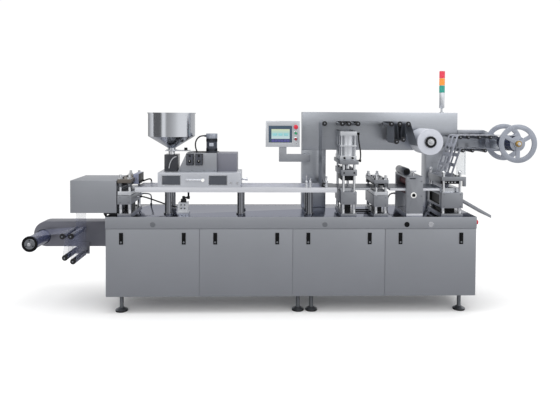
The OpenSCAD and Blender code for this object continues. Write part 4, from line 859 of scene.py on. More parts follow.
def roller_ends(boxes, radius, name):
    """Black end rings and bright axle tips for a set of guide rollers."""
    ring = 12 * MM
    bore = 8.9 * MM
    rim = radius + 0.8 * MM
    profile = [(bore, -2 * MM), (rim - 2 * MM, -2 * MM), (rim, 0.0), (rim, ring), (radius - 1 * MM, ring),
               (bore, ring), (bore, -2 * MM)]
    tip = turned((0, -3), (4, -3), (6, -1), (6, 1), (0, 1))
    parts = []
    for centre, box in zip(middles(boxes), boxes):
        for y, axis in ((FILM_FRONT - SLEEVE_OVERHANG, TO_BACK), (FILM_BACK + SLEEVE_OVERHANG, TO_FRONT)):
            parts.append(lathe(profile, (centre.x, y, centre.z), axis, 24, 0))
        parts.append(lathe(tip, (centre.x, box[0].y, centre.z), TO_BACK, 20, 1))
    piece(joined(parts), name, ["black_rubber", "zinc_plated_steel"])


def guide_rollers(node):
    """Finishes a set of guide rollers and their ends, and gives the rollers' boxes and radius."""
    boxes = islands(node)
    radius = (boxes[0][1].x - boxes[0][0].x) / 2
    finish_node(node, ["dark_polished_sleeve"])
    roller_ends(boxes, radius, node[:-1] + "_ends")
    return boxes, radius


def corner_columns(node, inset=20 * MM):
    """Middle lines of a station's four columns, as (x, y)."""
    low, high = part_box(node)
    return [(x, y) for x in (low.x + inset, high.x - inset)
            for y in (STATION_FRONT + inset, STATION_BACK - inset)]


def legs_and_painted_shade_finish(middle):
    """Chrome for a station's legs, black for the housing between them, which paints the shade between the
    legs.
    """
    return 2 if abs(middle.y - FILM_MIDDLE) < HOUSING_HALF else 1


def station_cover(node, low_z, high_z, name, finish, body=MACHINE):
    """A bevelled cover plate on the front of a station's block, with its four screws."""
    low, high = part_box(node)
    side = 12 * MM
    proud = 2.5 * MM
    plate = solid_box((low.x + side, STATION_FRONT - proud, low_z + side / 2),
                      (high.x - side, STATION_FRONT + 1 * MM, high_z - side / 2), 1 * MM)
    piece(plate, name, [finish], body)
    inset = side + 9 * MM
    places = on_front((low.x + inset, high.x - inset), STATION_FRONT - proud,
                      (low_z + inset - 6 * MM, high_z - inset + 6 * MM))
    add_screws(name + "_screws", places, "zinc_plated_steel", body, 8 * MM)


def lifting_station(prefix, plate_finish, legs):
    """Finishes of a station whose lower die rises, with legs of a given height: forming and creasing."""
    sizes = bpy.context.scene.machine_sizes
    die = prefix + "_lower_die"
    top = prefix + "_top_plate"
    low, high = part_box(die)
    block_top = high.z - 33 * MM
    base_plate = BED_TOP + 22 * MM
    legs_top = BED_TOP + legs
    plate_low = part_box(top)[0].z + 32 * MM
    columns = corner_columns(die, 18 * MM)
    right = columns[-1][0]

    def base_finish(middle, normal):
        if middle.z > block_top + SLACK or middle.x > right + 25 * MM:
            return 1
        if base_plate + SLACK < middle.z < legs_top - SLACK:
            return legs_and_painted_shade_finish(middle)
        return 0

    def plate_choice(middle, normal):
        if middle.z < plate_low - SLACK:
            return 1
        if middle.x > right + 22 * MM:
            return 3
        return 2 if middle.z > plate_low + 31 * MM else 0

    edge = sizes.plate_edge
    finish_node(prefix + "_base", STATION_STEELS, base_finish, edge)
    finish_node(die, ["anodised_aluminium"], None, edge)
    plates = [plate_finish, "black_oxide_steel", "hard_chrome", "blue_grey_anodised"]
    finish_node(top, plates, plate_choice, edge)
    station_cover(die, legs_top, block_top, prefix + "_cover", "ground_tool_steel")
    springs = [((x, y, plate_low - 33 * MM), UP) for x, y in columns]
    grown(coil_tree(), points_mesh(springs), {
        "Coil Radius": 18.5 * MM, "Wire Radius": sizes.spring_wire, "Height": 32 * MM, "Turns": 5.0},
        prefix + "_springs", "zinc_plated_steel")
    rows = [FILM_MIDDLE - 120 * MM, FILM_MIDDLE, FILM_MIDDLE + 80 * MM]
    on_plate = on_top((low.x + 30 * MM, high.x - 30 * MM), rows, plate_low + 30 * MM)
    add_screws(prefix + "_plate_screws", on_plate, "black_oxide_steel")
    ends = (STATION_FRONT + 14 * MM, STATION_BACK - 14 * MM)
    on_base = on_top((low.x + 45 * MM, high.x - 45 * MM), ends, base_plate)
    add_screws(prefix + "_base_screws", on_base, "black_oxide_steel")


# Operators

class StageOperator(bpy.types.Operator):
    """Sets up the camera, the soft studio light and the pale floor"""

    bl_idname = "blister.stage"
    bl_label = "Stage"

    def execute(self, context):
        scene = context.scene
        scene.view_settings.view_transform = "Standard"
        data = bpy.data.cameras.new("camera")
        data.sensor_fit = "HORIZONTAL"
        data.sensor_width = SENSOR
        data.lens = FOCAL_PIXELS / PHOTO_WIDTH * SENSOR
        data.shift_y = (AXIS_PIXEL_Y - PHOTO_HEIGHT / 2) / PHOTO_WIDTH
        data.clip_end = 200
        camera = bpy.data.objects.new("camera", data)
        ahead = Vector((math.sin(CAMERA_YAW) * math.cos(CAMERA_TILT),
                        math.cos(CAMERA_YAW) * math.cos(CAMERA_TILT), -math.sin(CAMERA_TILT)))
        level = Vector((math.cos(CAMERA_YAW), -math.sin(CAMERA_YAW), 0))
        up = level.cross(ahead)
        right = math.cos(CAMERA_ROLL) * level + math.sin(CAMERA_ROLL) * up
        top = -math.sin(CAMERA_ROLL) * level + math.cos(CAMERA_ROLL) * up
        turn = Matrix((right, top, -ahead)).transposed().to_4x4()
        camera.matrix_world = Matrix.Translation(CAMERA_PLACE) @ turn
        scene.collection.objects.link(camera)
        scene.camera = camera
        for light in STUDIO_LIGHTS:
            self.light(scene, *light)
        self.world(scene)
        self.floor(scene)
        return {"FINISHED"}

    def light(self, scene, name, place, size, power, target):
        """One soft box aimed at a point of the machine."""
        data = bpy.data.lights.new(name, "AREA")
        data.shape = "RECTANGLE"
        data.size, data.size_y = size
        data.energy = power
        lamp = bpy.data.objects.new(name, data)
        lamp.location = place
        lamp.rotation_euler = (Vector(target) - Vector(place)).to_track_quat("-Z", "Y").to_euler()
        scene.collection.objects.link(lamp)

    def world(self, scene):
        """White to look at and for diffuse light; gloss sees a ring of soft boxes between dark flags."""
        world = bpy.data.worlds.new("studio")
        world.use_nodes = True
        tree = world.node_tree
        tree.nodes.clear()
        coords = add_node(tree, "ShaderNodeTexCoord").outputs["Generated"]
        round_about = add_node(tree, "ShaderNodeTexGradient", links={"Vector": coords},
                               gradient_type="RADIAL")
        boxes = add_node(tree, "ShaderNodeValToRGB", links={"Fac": round_about.outputs["Fac"]})
        ramp = boxes.color_ramp
        for place, level in STUDIO_RING:
            stop = ramp.elements.new(place)
            stop.color = (level, level, level, 1.0)
        ramp.elements.remove(ramp.elements[0])
        ramp.elements.remove(ramp.elements[-1])
        split = add_node(tree, "ShaderNodeSeparateXYZ", links={"Vector": coords})
        height = add_node(tree, "ShaderNodeMapRange", values={"From Min": 0.2, "From Max": 0.6}, links={
            "Value": split.outputs["Z"]})
        seen = add_node(tree, "ShaderNodeMix", values={3: STUDIO_CEILING}, links={
            0: height.outputs["Result"], 2: boxes.outputs["Color"]}, data_type="FLOAT")
        rays = add_node(tree, "ShaderNodeLightPath")
        level = add_node(tree, "ShaderNodeMix", values={2: STUDIO_WHITE}, links={
            0: rays.outputs["Is Glossy Ray"], 3: seen.outputs[0]}, data_type="FLOAT")
        sky = add_node(tree, "ShaderNodeBackground", values={"Color": (1, 1, 1, 1)}, links={
            "Strength": level.outputs[0]})
        add_node(tree, "ShaderNodeOutputWorld", links={"Surface": sky.outputs["Background"]})
        scene.world = world

    def floor(self, scene):
        """A pale floor that stays white where it is lit and keeps the shadow."""
        finish, tree, shader, coords = new_finish("pale_studio_floor")
        rays = add_node(tree, "ShaderNodeLightPath")
        shade = add_node(tree, "ShaderNodeMix", values={
            6: (*linear("#FEFEFE"), 1.0), 7: (*linear(FLOOR_IN_GLOSS), 1.0)}, links={
            0: rays.outputs["Is Glossy Ray"]}, data_type="RGBA")
        specks = add_node(tree, "ShaderNodeTexNoise", values={"Scale": 30.0}, links={"Vector": coords})
        matt = add_node(tree, "ShaderNodeMapRange", values={"To Min": 0.6, "To Max": 0.75}, links={
            "Value": specks.outputs["Fac"]})
        tree.links.new(shade.outputs[2], shader.inputs["Base Color"])
        tree.links.new(matt.outputs["Result"], shader.inputs["Roughness"])
        shader.inputs["Specular IOR Level"].default_value = 0.0
        corners = [(x * FLOOR_HALF, y * FLOOR_HALF, 0) for x, y in ((-1, -1), (1, -1), (1, 1), (-1, 1))]
        mesh = bpy.data.meshes.new("floor")
        mesh.from_pydata(corners, [], [(0, 1, 2, 3)])
        mesh.materials.append(finish)
        floor = bpy.data.objects.new("floor", mesh)
        scene.collection.objects.link(floor)


class CordOperator(bpy.types.Operator):
    """Lays the cables and the hoses along their routes"""

    bl_idname = "blister.cords"
    bl_label = "Cables and hoses"

    def execute(self, context):
        for node in CORDS:
            self.lay(node, "grey_hose_rubber" if node == "forming_hose" else "black_rubber",
                     "medium" if node.endswith("cable") else "stiff")
        return {"FINISHED"}

    def lay(self, node, finish, stiffness):
        """A round cord as one smooth curve that stands for its CAD tube."""
        start, start_pull, end, end_pull = CORDS[node]
        smooth = []
        for i in range(CORD_STEPS + 1):
            t = i / CORD_STEPS
            place = (2 * t ** 3 - 3 * t ** 2 + 1) * start
            place += (t ** 3 - 2 * t ** 2 + t) * Vector(start_pull) * MM
            place += (3 * t ** 2 - 2 * t ** 3) * end
            place += (t ** 3 - t ** 2) * Vector(end_pull) * MM
            smooth.append(place)
        curve = bpy.data.curves.new(node + "_cord", "CURVE")
        curve.dimensions = "3D"
        curve.bevel_depth = CORD_DIAMETER / 2
        curve.bevel_resolution = 4
        curve.use_fill_caps = True
        spline = curve.splines.new("POLY")
        spline.points.add(len(smooth) - 1)
        for point, place in zip(spline.points, smooth):
            point.co = (*place, 1.0)
        spline.use_smooth = True
        curve.materials.append(look(finish))
        made = bpy.data.objects.new(node + "_cord", curve)
        bpy.context.scene.collection.objects.link(made)
        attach(made, BODY_OF[node])
        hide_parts(node)


class CabinetOperator(bpy.types.Operator):
    """Finishes the bed, the cabinet panels with their latches, and the levelling feet"""

    bl_idname = "blister.cabinet"
    bl_label = "Bed and cabinet"

    def execute(self, context):
        glands = [CORDS[node][2].xy for node in ("forming_hose", "traction_cable")]

        def bed_finish(middle, normal):
            if middle.z > BED_TOP - 1 * MM and min((middle.xy - gland).length for gland in glands) < 12 * MM:
                return 2
            return 1 if normal.z > 0.9 else 0

        finishes = ["satin_stainless_sheet", "polished_table_plate", "black_oxide_steel"]
        finish_node("bed", finishes, bed_finish, 3 * MM)
        finish_node("cabinet_body", ["satin_stainless_sheet"])
        for node in ("front_panels", "rear_panels"):
            finish_node(node, ["satin_stainless_sheet"], None, 2 * MM)
        self.latches()
        self.feet()
        self.plugs()
        return {"FINISHED"}

    def latches(self):
        """Paddle latches: a rounded bezel, a paddle in it and a small key barrel."""
        barrel = turned((0, 0), (8, 0), (8, 2), (7, 3), (0, 3))
        parts = []
        for low, high in islands("panel_latches"):
            front = low.y < 0
            out = -1 if front else 1
            wall = high.y if front else low.y
            middle = (low + high) / 2
            proud = high.y - low.y

            def slab(width, bottom, top, near, far, edge):
                y = sorted((wall + out * near, wall + out * far))
                half = width / 2
                return solid_box((middle.x - half, y[0], bottom), (middle.x + half, y[1], top), edge)

            parts.append(slab(high.x - low.x, low.z, high.z, 0, proud * 0.55, 2 * MM))
            parts.append(slab(22 * MM, low.z + 34 * MM, high.z - 6 * MM, proud * 0.4, proud, 2.5 * MM))
            place = (middle.x, wall + out * proud * 0.5, low.z + 18 * MM)
            parts.append(lathe(barrel, place, (0, out, 0), 20, 1))
        piece(joined(parts), "panel_latches_finish", ["moulded_black_plastic", "zinc_plated_steel"],
              replaces=["panel_latches"])

    def feet(self):
        """Rubber-soled pads, plated screws and nuts, and the thread on each screw."""
        sole = 10 * MM
        finish_node("levelling_feet", ["zinc_plated_steel", "black_rubber"],
                    lambda middle, normal: 1 if middle.z < sole else 0, 1 * MM)
        starts = [((m.x, m.y, 32 * MM), UP) for m in middles(islands("levelling_feet"))]
        grown(coil_tree(), points_mesh(starts), {
            "Coil Radius": 15 * MM, "Wire Radius": 1.3 * MM, "Height": 88 * MM, "Turns": 22.0},
            "foot_threads", "zinc_plated_steel")

    def plugs(self):
        """Plain round plugs on the bed's front edge."""
        height = BED_TOP - 63 * MM
        profile = turned((0, -0.5), (22, -0.5), (22, 1.5), (20, 3), (0, 3.4))
        parts = [lathe(profile, (along(s), BED_FRONT, height), TO_FRONT, 32, finish)
                 for s, finish in ((385, 0), (1794, 0), (2475, 1), (2676, 2))]
        finishes = ["zinc_plated_steel", "moulded_black_plastic", "hard_chrome"]
        piece(joined(parts), "bed_plugs", finishes)


class UnwindOperator(bpy.types.Operator):
    """Finishes the unwind arm, its rollers, the film roll, the film and the heater"""

    bl_idname = "blister.unwind"
    bl_label = "Unwind arm and heater"

    def execute(self, context):
        sizes = context.scene.machine_sizes
        socket_top = BED_TOP - 112 * MM
        socket = solid_box((BED_LEFT - 22 * MM, 118 * MM, socket_top - 46 * MM),
                           (BED_LEFT - 4 * MM, 131 * MM, socket_top), 1.5 * MM, 1)
        finish_node("unwind_arm", ["dark_grey_paint", "moulded_black_plastic"], None, 3 * MM, [socket])
        boxes, radius = guide_rollers("unwind_rollers")
        self.roll()
        self.film(boxes, radius)
        finish_node("heater_box", ["satin_stainless_sheet"], None, sizes.sheet_edge)
        finish_node("heater_bracket", ["black_oxide_steel"], None, sizes.plate_edge)
        return {"FINISHED"}

    def roll(self):
        """Wound film between black end discs, with a plain hub plate on the front."""
        low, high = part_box("film_roll")
        centre = (low + high) / 2
        disc = 10 * MM

        def roll_finish(middle, normal):
            return 0 if low.y + disc < middle.y < high.y - disc and abs(normal.y) < 0.5 else 1

        hub = turned((16, 0), (44, 0), (42, -3), (24, -3), (22, -7), (16, -7), (16, 0))
        parts = [lathe(hub, (centre.x, low.y, centre.z), TO_BACK, 40, 2)]
        finishes = ["wound_forming_film", "moulded_black_plastic", "zinc_plated_steel"]
        finish_node("film_roll", finishes, roll_finish, 1.5 * MM, parts)
        ring = 33 * MM
        places = [((centre.x + ring * math.cos(a), low.y - 3 * MM, centre.z + ring * math.sin(a)), TO_FRONT)
                  for a in (math.pi / 2, math.pi * 7 / 6, math.pi * 11 / 6)]
        add_screws("film_hub_screws", places, "black_oxide_steel", "film_roll", 9 * MM)

    def film(self, boxes, radius):
        """The film from its roll over the four rollers into the heater, and its flat run."""
        roll_low, roll_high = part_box("film_roll")
        roll = (roll_low + roll_high) / 2
        rollers = sorted(middles(boxes), key=lambda m: (round(-m.z, 1), m.x))
        upper_left, upper_right, low_left, low_right = rollers
        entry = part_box("heater_box")[0].z + 34 * MM
        rise = low_right.x + radius + WEB_GAP + WEB_THICK / 2
        roll_radius = (roll_high.x - roll_low.x) / 2 - 8 * MM
        stops = [over(roll, roll_radius, 1), over(upper_left, radius, 1), over(low_left, radius, -1),
                 over(upper_right, radius, 1), over(low_right, radius, -1), (rise, entry, 0.0, 0)]
        flat = [(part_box("heater_box")[1].x - 40 * MM, FILM_TOP - WEB_THICK / 2),
                (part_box("forming_film")[1].x, FILM_TOP - WEB_THICK / 2)]
        parts = [strip(path, FILM_FRONT, FILM_BACK, WEB_THICK) for path in (web_path(stops), flat)]
        piece(joined(parts), "forming_film_finish", ["clear_pvc_film"],
              replaces=["forming_film"])


class FormingOperator(bpy.types.Operator):
    """Finishes the forming station with its springs, cover and screws"""

    bl_idname = "blister.forming"
    bl_label = "Forming station"

    def execute(self, context):
        lifting_station("forming", "heat_tinted_steel", 97 * MM)
        return {"FINISHED"}


class FeederOperator(bpy.types.Operator):
    """Finishes the film track, the feeder with its drive, the hopper and the air regulator"""

    bl_idname = "blister.feeder"
    bl_label = "Feeder"

    def execute(self, context):
        sizes = context.scene.machine_sizes
        finish_node("feeder_track", ["ground_track_stainless"], None, sizes.plate_edge)
        finish_node("track_posts", ["dark_mirror_chrome"], None, 1 * MM)
        finish_node("feeder_box", ["ground_feeder_stainless", "black_oxide_steel"], self.box_finish, 2 * MM)
        self.windows()
        bar_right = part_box("feeder_box")[0].x + 375 * MM

        def fitting_finish(middle, normal):
            return 1 if abs(middle.x - bar_right) < 15 * MM and middle.y < -245 * MM else 0

        finish_node("feeder_fittings", ["hard_chrome", "white_moulded_plastic"], fitting_finish, 0.8 * MM)
        self.clamps()
        self.drive()
        self.supply()
        return {"FINISHED"}

    def clamps(self):
        """Turned sleeves and knobs on the clamps at the track's end."""
        track_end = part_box("feeder_track")[1].x - 300 * MM
        sleeve = turned((0, 2), (13, 2), (13, 26), (9, 29), (9, 38), (12, 40), (12, 54), (9, 57), (0, 57))
        parts = []
        for low, high in islands("feeder_fittings"):
            if low.x > track_end:
                middle = (low + high) / 2
                parts.append(lathe(sleeve, (middle.x, middle.y, low.z), UP, 24))
        piece(joined(parts), "track_clamp_knobs", ["anodised_aluminium"])

    def box_finish(self, middle, normal):
        """Recesses of the windows are black, as painted shade behind the panes."""
        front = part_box("feeder_box")[0].y
        return 1 if front + 1 * MM < middle.y < front + 20 * MM else 0

    def windows(self):
        """Smoked panes in raised frames over the two recesses."""
        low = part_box("feeder_box")[0]
        width, height, foot, rim = 146 * MM, 74 * MM, 22 * MM, 6 * MM
        parts = []
        for s in (39 * MM, 425 * MM):
            x0, x1 = low.x + s, low.x + s + width
            z0, z1 = low.z + foot, low.z + foot + height
            parts.append(solid_box((x0 + 1 * MM, low.y + 1 * MM, z0 + 1 * MM),
                                   (x1 - 1 * MM, low.y + 4 * MM, z1 - 1 * MM), 0.6 * MM, 0))
            for a, b in (((x0 - rim, z0 - rim), (x1 + rim, z0)), ((x0 - rim, z1), (x1 + rim, z1 + rim)),
                         ((x0 - rim, z0), (x0, z1)), ((x1, z0), (x1 + rim, z1))):
                parts.append(solid_box((a[0], low.y - 2 * MM, a[1]), (b[0], low.y + 0.5 * MM, b[1]),
                                       0.7 * MM, 1))
        finishes = ["smoked_acrylic", "polished_stainless_steel"]
        piece(joined(parts), "feeder_windows", finishes)

    def drive(self):
        """Drive hood, its cap, the speed controllers and the motor."""
        low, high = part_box("feeder_hood")
        cap_left = islands("feeder_hood")[1][0].x
        gland = CORDS["motor_cable"][2]

        def hood_finish(middle, normal):
            if (middle.xy - gland.xy).length < 12 * MM and middle.z > gland.z - 13 * MM:
                return 2
            return 1 if middle.x > cap_left - SLACK else 0

        finishes = ["satin_stainless_sheet", "purple_grey_enamel", "moulded_black_plastic"]
        finish_node("feeder_hood", finishes, hood_finish, 2.5 * MM)
        xs = (low.x + 20 * MM, low.x + 120 * MM, low.x + 220 * MM, cap_left - 20 * MM)
        places = on_front(xs, low.y, [low.z + 12 * MM])
        add_screws("hood_screws", places, "zinc_plated_steel", head=8 * MM)
        dial = turned((0, -8), (9, -8), (11, -6), (13, 0), (0, 0))
        knob_z = high.z - 82 * MM
        faces = []
        for box_low, box_high in islands("speed_controllers"):
            front = box_low.y + 12 * MM
            x = (box_low.x + box_high.x) / 2
            faces.append(solid_box((box_low.x + 4 * MM, front - 1.5 * MM, box_low.z + 4 * MM),
                                   (box_high.x - 4 * MM, front + 1 * MM, box_high.z - 4 * MM), 0.8 * MM, 1))
            faces.append(solid_box((x - 9 * MM, front - 6 * MM, box_high.z - 24 * MM),
                                   (x + 9 * MM, front, box_high.z - 12 * MM), 1.5 * MM, 0))
            faces.append(lathe(dial, (x, box_low.y + 7 * MM, knob_z), TO_BACK, 24, 0))
            faces.append(solid_box((x - 1.2 * MM, box_low.y - 2 * MM, knob_z),
                                   (x + 1.2 * MM, box_low.y, knob_z + 10 * MM), 0.3 * MM, 2))
        finishes = ["moulded_black_plastic", "slate_plastic_face", "white_moulded_plastic"]
        finish_node("speed_controllers", finishes, None, 1.2 * MM, faces)
        self.motor()

    def motor(self):
        """Dark finned body, light cast cap and a plain pale plate."""
        low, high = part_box("feeder_motor")
        radius = 48 * MM
        x, y = high.x - radius - 2 * MM, (low.y + high.y) / 2
        cap = high.z - 40 * MM
        gland = CORDS["motor_cable"][0]
        plate = solid_box((x - 17 * MM, y - 47.5 * MM, cap - 66 * MM),
                          (x + 19 * MM, y - 40 * MM, cap - 38 * MM), 1 * MM, 2)

        def motor_finish(middle, normal):
            on_gland = middle.x < x - radius + 1 * MM and abs(middle.z - gland.z) < 10 * MM
            return 1 if middle.z > cap - SLACK and not on_gland else 0

        finishes = ["dark_motor_enamel", "cast_light_alloy", "pale_plate"]
        finish_node("feeder_motor", finishes, motor_finish, 1.5 * MM, [plate])
        fins = [((x, y, low.z + 22 * MM), UP), ((x, y, cap - 16 * MM), UP)]
        grown(rib_tree(), points_mesh(fins), {
            "Count": 40, "Radius": 46 * MM, "Rib Depth": 4 * MM, "Rib Width": 2.6 * MM,
            "Rib Length": 24 * MM},
            "motor_fins", "moulded_black_plastic")

    def supply(self):
        """Chute, gate, hopper and the regulator on the bed."""
        low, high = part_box("feed_chute")
        duct_top = high.z - 28 * MM
        slide = [(high.x - 10 * MM - 62 * MM * math.sin(t), low.z + 8 * MM + 118 * MM * math.cos(t))
                 for t in [math.radians(8 * k) for k in range(11)]]
        rail = strip(slide, low.y - 9 * MM, low.y + 0.5 * MM, 7 * MM, 2)
        finish_node("feed_chute", ["smoked_duct_acrylic", "hard_chrome", "anodised_aluminium"],
                    lambda middle, normal: 1 if middle.z > duct_top + SLACK else 0, 1.5 * MM, [rail])
        plate_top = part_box("hopper")[0].z
        finish_node("hopper_gate", ["polished_stainless_steel", "moulded_black_plastic"],
                    lambda middle, normal: 1 if middle.z > plate_top + SLACK else 0, 1 * MM)
        finish_node("hopper", ["mirror_polished_stainless"])
        low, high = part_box("regulator_block")
        body_top = BED_TOP + 92 * MM

        def regulator_finish(middle, normal):
            # The faces inside the ports are black as painted shade in the holes; the elbow above the body is
            # black steel
            beside = low.y + 10 * MM < middle.y < low.y + 20 * MM and middle.x < high.x - 20 * MM
            port = beside and BED_TOP + 30 * MM < middle.z < BED_TOP + 85 * MM
            return 1 if port or middle.z > body_top + 2 * MM else 0

        finish_node("regulator_block", ["anodised_aluminium", "black_oxide_steel"], regulator_finish, 1 * MM)


class GantryOperator(bpy.types.Operator):
    """Finishes the gantry, the foil's rollers, web and roll, and the signal tower"""

    bl_idname = "blister.gantry"
    bl_label = "Gantry and foil"

    def execute(self, context):
        sizes = context.scene.machine_sizes
        for node in ("gantry_left_post", "gantry_beam", "gantry_right_post"):
            finish_node(node, ["brushed_stainless_sheet"], None, sizes.sheet_edge)
        boxes, radius = guide_rollers("foil_rollers")
        self.web(boxes, radius)
        self.roll()
        finish_node("reel_shafts", ["hard_chrome"], None, 1.5 * MM)
        self.tower()
        return {"FINISHED"}

    def web(self, boxes, radius):
        """The foil from its roll over the rollers and down to the film."""
        low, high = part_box("foil_roll")
        roll = (low + high) / 2
        centres = middles(boxes)
        line = max(c.z for c in centres)
        top = sorted((c for c in centres if c.z > line - 10 * MM), key=lambda c: c.x)
        turn = min(centres, key=lambda c: c.z)
        dip = sorted((c for c in centres if turn.z + 0.1 < c.z < line - 10 * MM), key=lambda c: c.x)
        stops = [over(roll, (high.x - low.x) / 2, 1), over(top[6], radius, -1), over(dip[1], radius, 1),
                 over(top[5], radius, -1), over(dip[0], radius, 1), over(top[4], radius, -1),
                 over(top[0], radius, -1), over(turn, radius, -1),
                 (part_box("forming_film")[1].x, FILM_TOP + WEB_THICK / 2, 0.0, 0)]
        piece(strip(web_path(stops), FILM_FRONT, FILM_BACK, WEB_THICK), "foil_web_finish", ["lacquered_foil"],
              replaces=["foil_web"])

    def roll(self):
        """Bright wound foil on a dark knurled chuck."""
        low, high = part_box("foil_roll")
        centre = (low + high) / 2
        chuck = 50.5 * MM

        def roll_finish(middle, normal):
            flat = Vector((middle.x - centre.x, middle.z - centre.z)).length
            on_chuck = flat < chuck and middle.y < FILM_FRONT - SLACK
            return 1 if on_chuck or middle.y > FILM_BACK + SLACK else 0

        ring = turned((16, 0), (30, 0), (28, -5), (16, -5), (16, 0))
        layers = []
        for k in range(1, 9):
            inner = 50 + k * 6.6
            outer = inner + 3.2
            layer = turned((inner, 0.2), (inner, -0.5), (outer, -0.5), (outer, 0.2), (inner, 0.2))
            layers.append(lathe(layer, (centre.x, FILM_FRONT, centre.z), TO_BACK, 64, 0))
        parts = [lathe(ring, (centre.x, low.y, centre.z), TO_BACK, 32, 2), *layers]
        finishes = ["wound_lidding_foil", "black_oxide_steel", "hard_chrome"]
        finish_node("foil_roll", finishes, roll_finish, 1.2 * MM, parts)
        grown(rib_tree(), points_mesh([((centre.x, low.y + 7 * MM, centre.z), TO_BACK)]), {
            "Count": 48, "Radius": 50 * MM, "Rib Depth": 2 * MM, "Rib Width": 3 * MM, "Rib Length": 10 * MM},
            "chuck_knurl", "black_oxide_steel", "foil_roll")

    def tower(self):
        """Ribbed lamp lenses, red over amber over green, on a grey tube."""
        low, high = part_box("signal_tower")
        x, y = (low.x + high.x) / 2, (low.y + high.y) / 2
        radius = (high.x - low.x) / 2
        lamp, gap = 63 * MM, 3 * MM
        foot = high.z - 3 * (lamp + gap)
        ribs = 9
        parts = []
        for k in range(3):
            start = foot + k * (lamp + gap)
            end = start + lamp
            profile = [(0.0, start), (radius - 1 * MM, start)]
            for i in range(ribs):
                base = start + lamp * i / ribs
                profile += [(radius, base + 1 * MM), (radius, base + lamp / ribs - 1.5 * MM),
                            (radius - 1 * MM, base + lamp / ribs)]
            profile.append((0.0, end))
            parts.append(lathe(profile, (x, y, 0), UP, 36, k))
            neck = radius - 3 * MM
            ring = [(0.0, end), (neck, end), (neck, end + gap), (0.0, end + gap)]
            parts.append(lathe(ring, (x, y, 0), UP, 36, 3))
        tube = [(0.0, low.z), (20 * MM, low.z), (20 * MM, low.z + 5 * MM), (10 * MM, low.z + 7 * MM),
                (10 * MM, low.z + 41 * MM), (radius - 4 * MM, low.z + 43 * MM),
                (radius - 2 * MM, low.z + 46 * MM), (radius - 2 * MM, foot - 2 * MM), (radius - 3 * MM, foot),
                (0.0, foot)]
        parts.append(lathe(tube, (x, y, 0), UP, 36, 3))
        finishes = ["green_lamp_lens", "amber_lamp_lens", "red_lamp_lens", "anodised_aluminium"]
        piece(joined(parts), "signal_tower_finish", finishes,
              replaces=["signal_tower"])


class PanelOperator(bpy.types.Operator):
    """Finishes the operator panel with its screen, keys and push buttons"""

    bl_idname = "blister.panel"
    bl_label = "Operator panel"

    def execute(self, context):
        low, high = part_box("control_panel")
        left, right, foot, head = low.x + 26 * MM, high.x - 68 * MM, low.z + 39 * MM, high.z - 42 * MM
        face = low.y
        parts = [solid_box((left + 0.5 * MM, face - 2 * MM, foot + 0.5 * MM),
                           (right - 0.5 * MM, face + 2.9 * MM, head - 0.5 * MM), 2 * MM, 1)]
        glass_left, glass_right = left + 24 * MM, right - 21 * MM
        glass_foot, glass_head = foot + 33 * MM, head - 29 * MM
        parts.append(solid_box((glass_left, face - 2.6 * MM, glass_foot),
                               (glass_right, face - 1 * MM, glass_head), 0.4 * MM, 2))
        key_width = (glass_right - glass_left) / 6
        for k in range(6):
            x = glass_left + k * key_width
            parts.append(solid_box((x + 1.5 * MM, face - 3.4 * MM, foot + 5 * MM),
                                   (x + key_width - 1.5 * MM, face - 1 * MM, glass_foot - 6 * MM), 1 * MM, 3))
        tile = (glass_right - glass_left) / 4
        for k in range(3):
            x = glass_left + tile * (0.35 + 1.2 * k)
            parts.append(solid_box((x, face - 2.9 * MM, glass_foot + 26 * MM),
                                   (x + tile * 0.85, face - 2.5 * MM, glass_foot + 48 * MM), 0.1 * MM, 4))
        finishes = ["anodised_aluminium", "blue_grey_bezel", "lit_touch_screen", "violet_keys", "teal_tile"]
        finish_node("control_panel", finishes, None, 3 * MM, parts)
        finish_node("panel_arm", ["satin_stainless_sheet"], None, 3 * MM)
        self.buttons()
        return {"FINISHED"}

    def buttons(self):
        """Mushroom stop buttons, push buttons with bright collars and a key barrel."""
        boxes = islands("push_buttons")
        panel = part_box("control_panel")
        face = panel[0].y
        bed_stop = boxes[-1]
        column = sorted((b for b in boxes if b is not bed_stop), key=lambda b: -b[1].z)
        parts = []
        mushroom = turned((0, -2), (13, -2), (13, 8), (19, 10), (20, 14), (18, 19), (12, 21.5), (0, 22))
        collar = turned((0, -2), (17, -2), (17, 2.5), (15, 4), (0, 4))
        button = turned((0, 0), (11.5, 0), (11.5, 8), (10, 9.6), (0, 10))
        key = turned((0, -1), (6, -1), (6, 4), (4.5, 5), (0, 5))
        for k, (low, high) in enumerate(column):
            place = ((low.x + high.x) / 2, face, (low.z + high.z) / 2)
            parts.append(lathe(collar, place, TO_FRONT, 32, 3))
            parts.append(lathe(mushroom if k == 0 else button, place, TO_FRONT, 32, k))
        middle = (bed_stop[0] + bed_stop[1]) / 2
        place = (BED_RIGHT, middle.y, middle.z)
        parts.append(lathe(collar, place, (1, 0, 0), 32, 3))
        stretch = 34 / 22
        tall = [(radius, height * stretch if height > 0 else height) for radius, height in mushroom]
        parts.append(lathe(tall, place, (1, 0, 0), 32, 0))
        key_x = (column[0][0].x + column[0][1].x) / 2 + 4 * MM
        parts.append(lathe(key, (key_x, face, panel[0].z + 36 * MM), TO_FRONT, 24, 3))
        finishes = ["red_stop_plastic", "green_button_plastic", "dark_red_button_plastic", "hard_chrome"]
        piece(joined(parts), "push_buttons_finish", finishes, replaces=["push_buttons"])


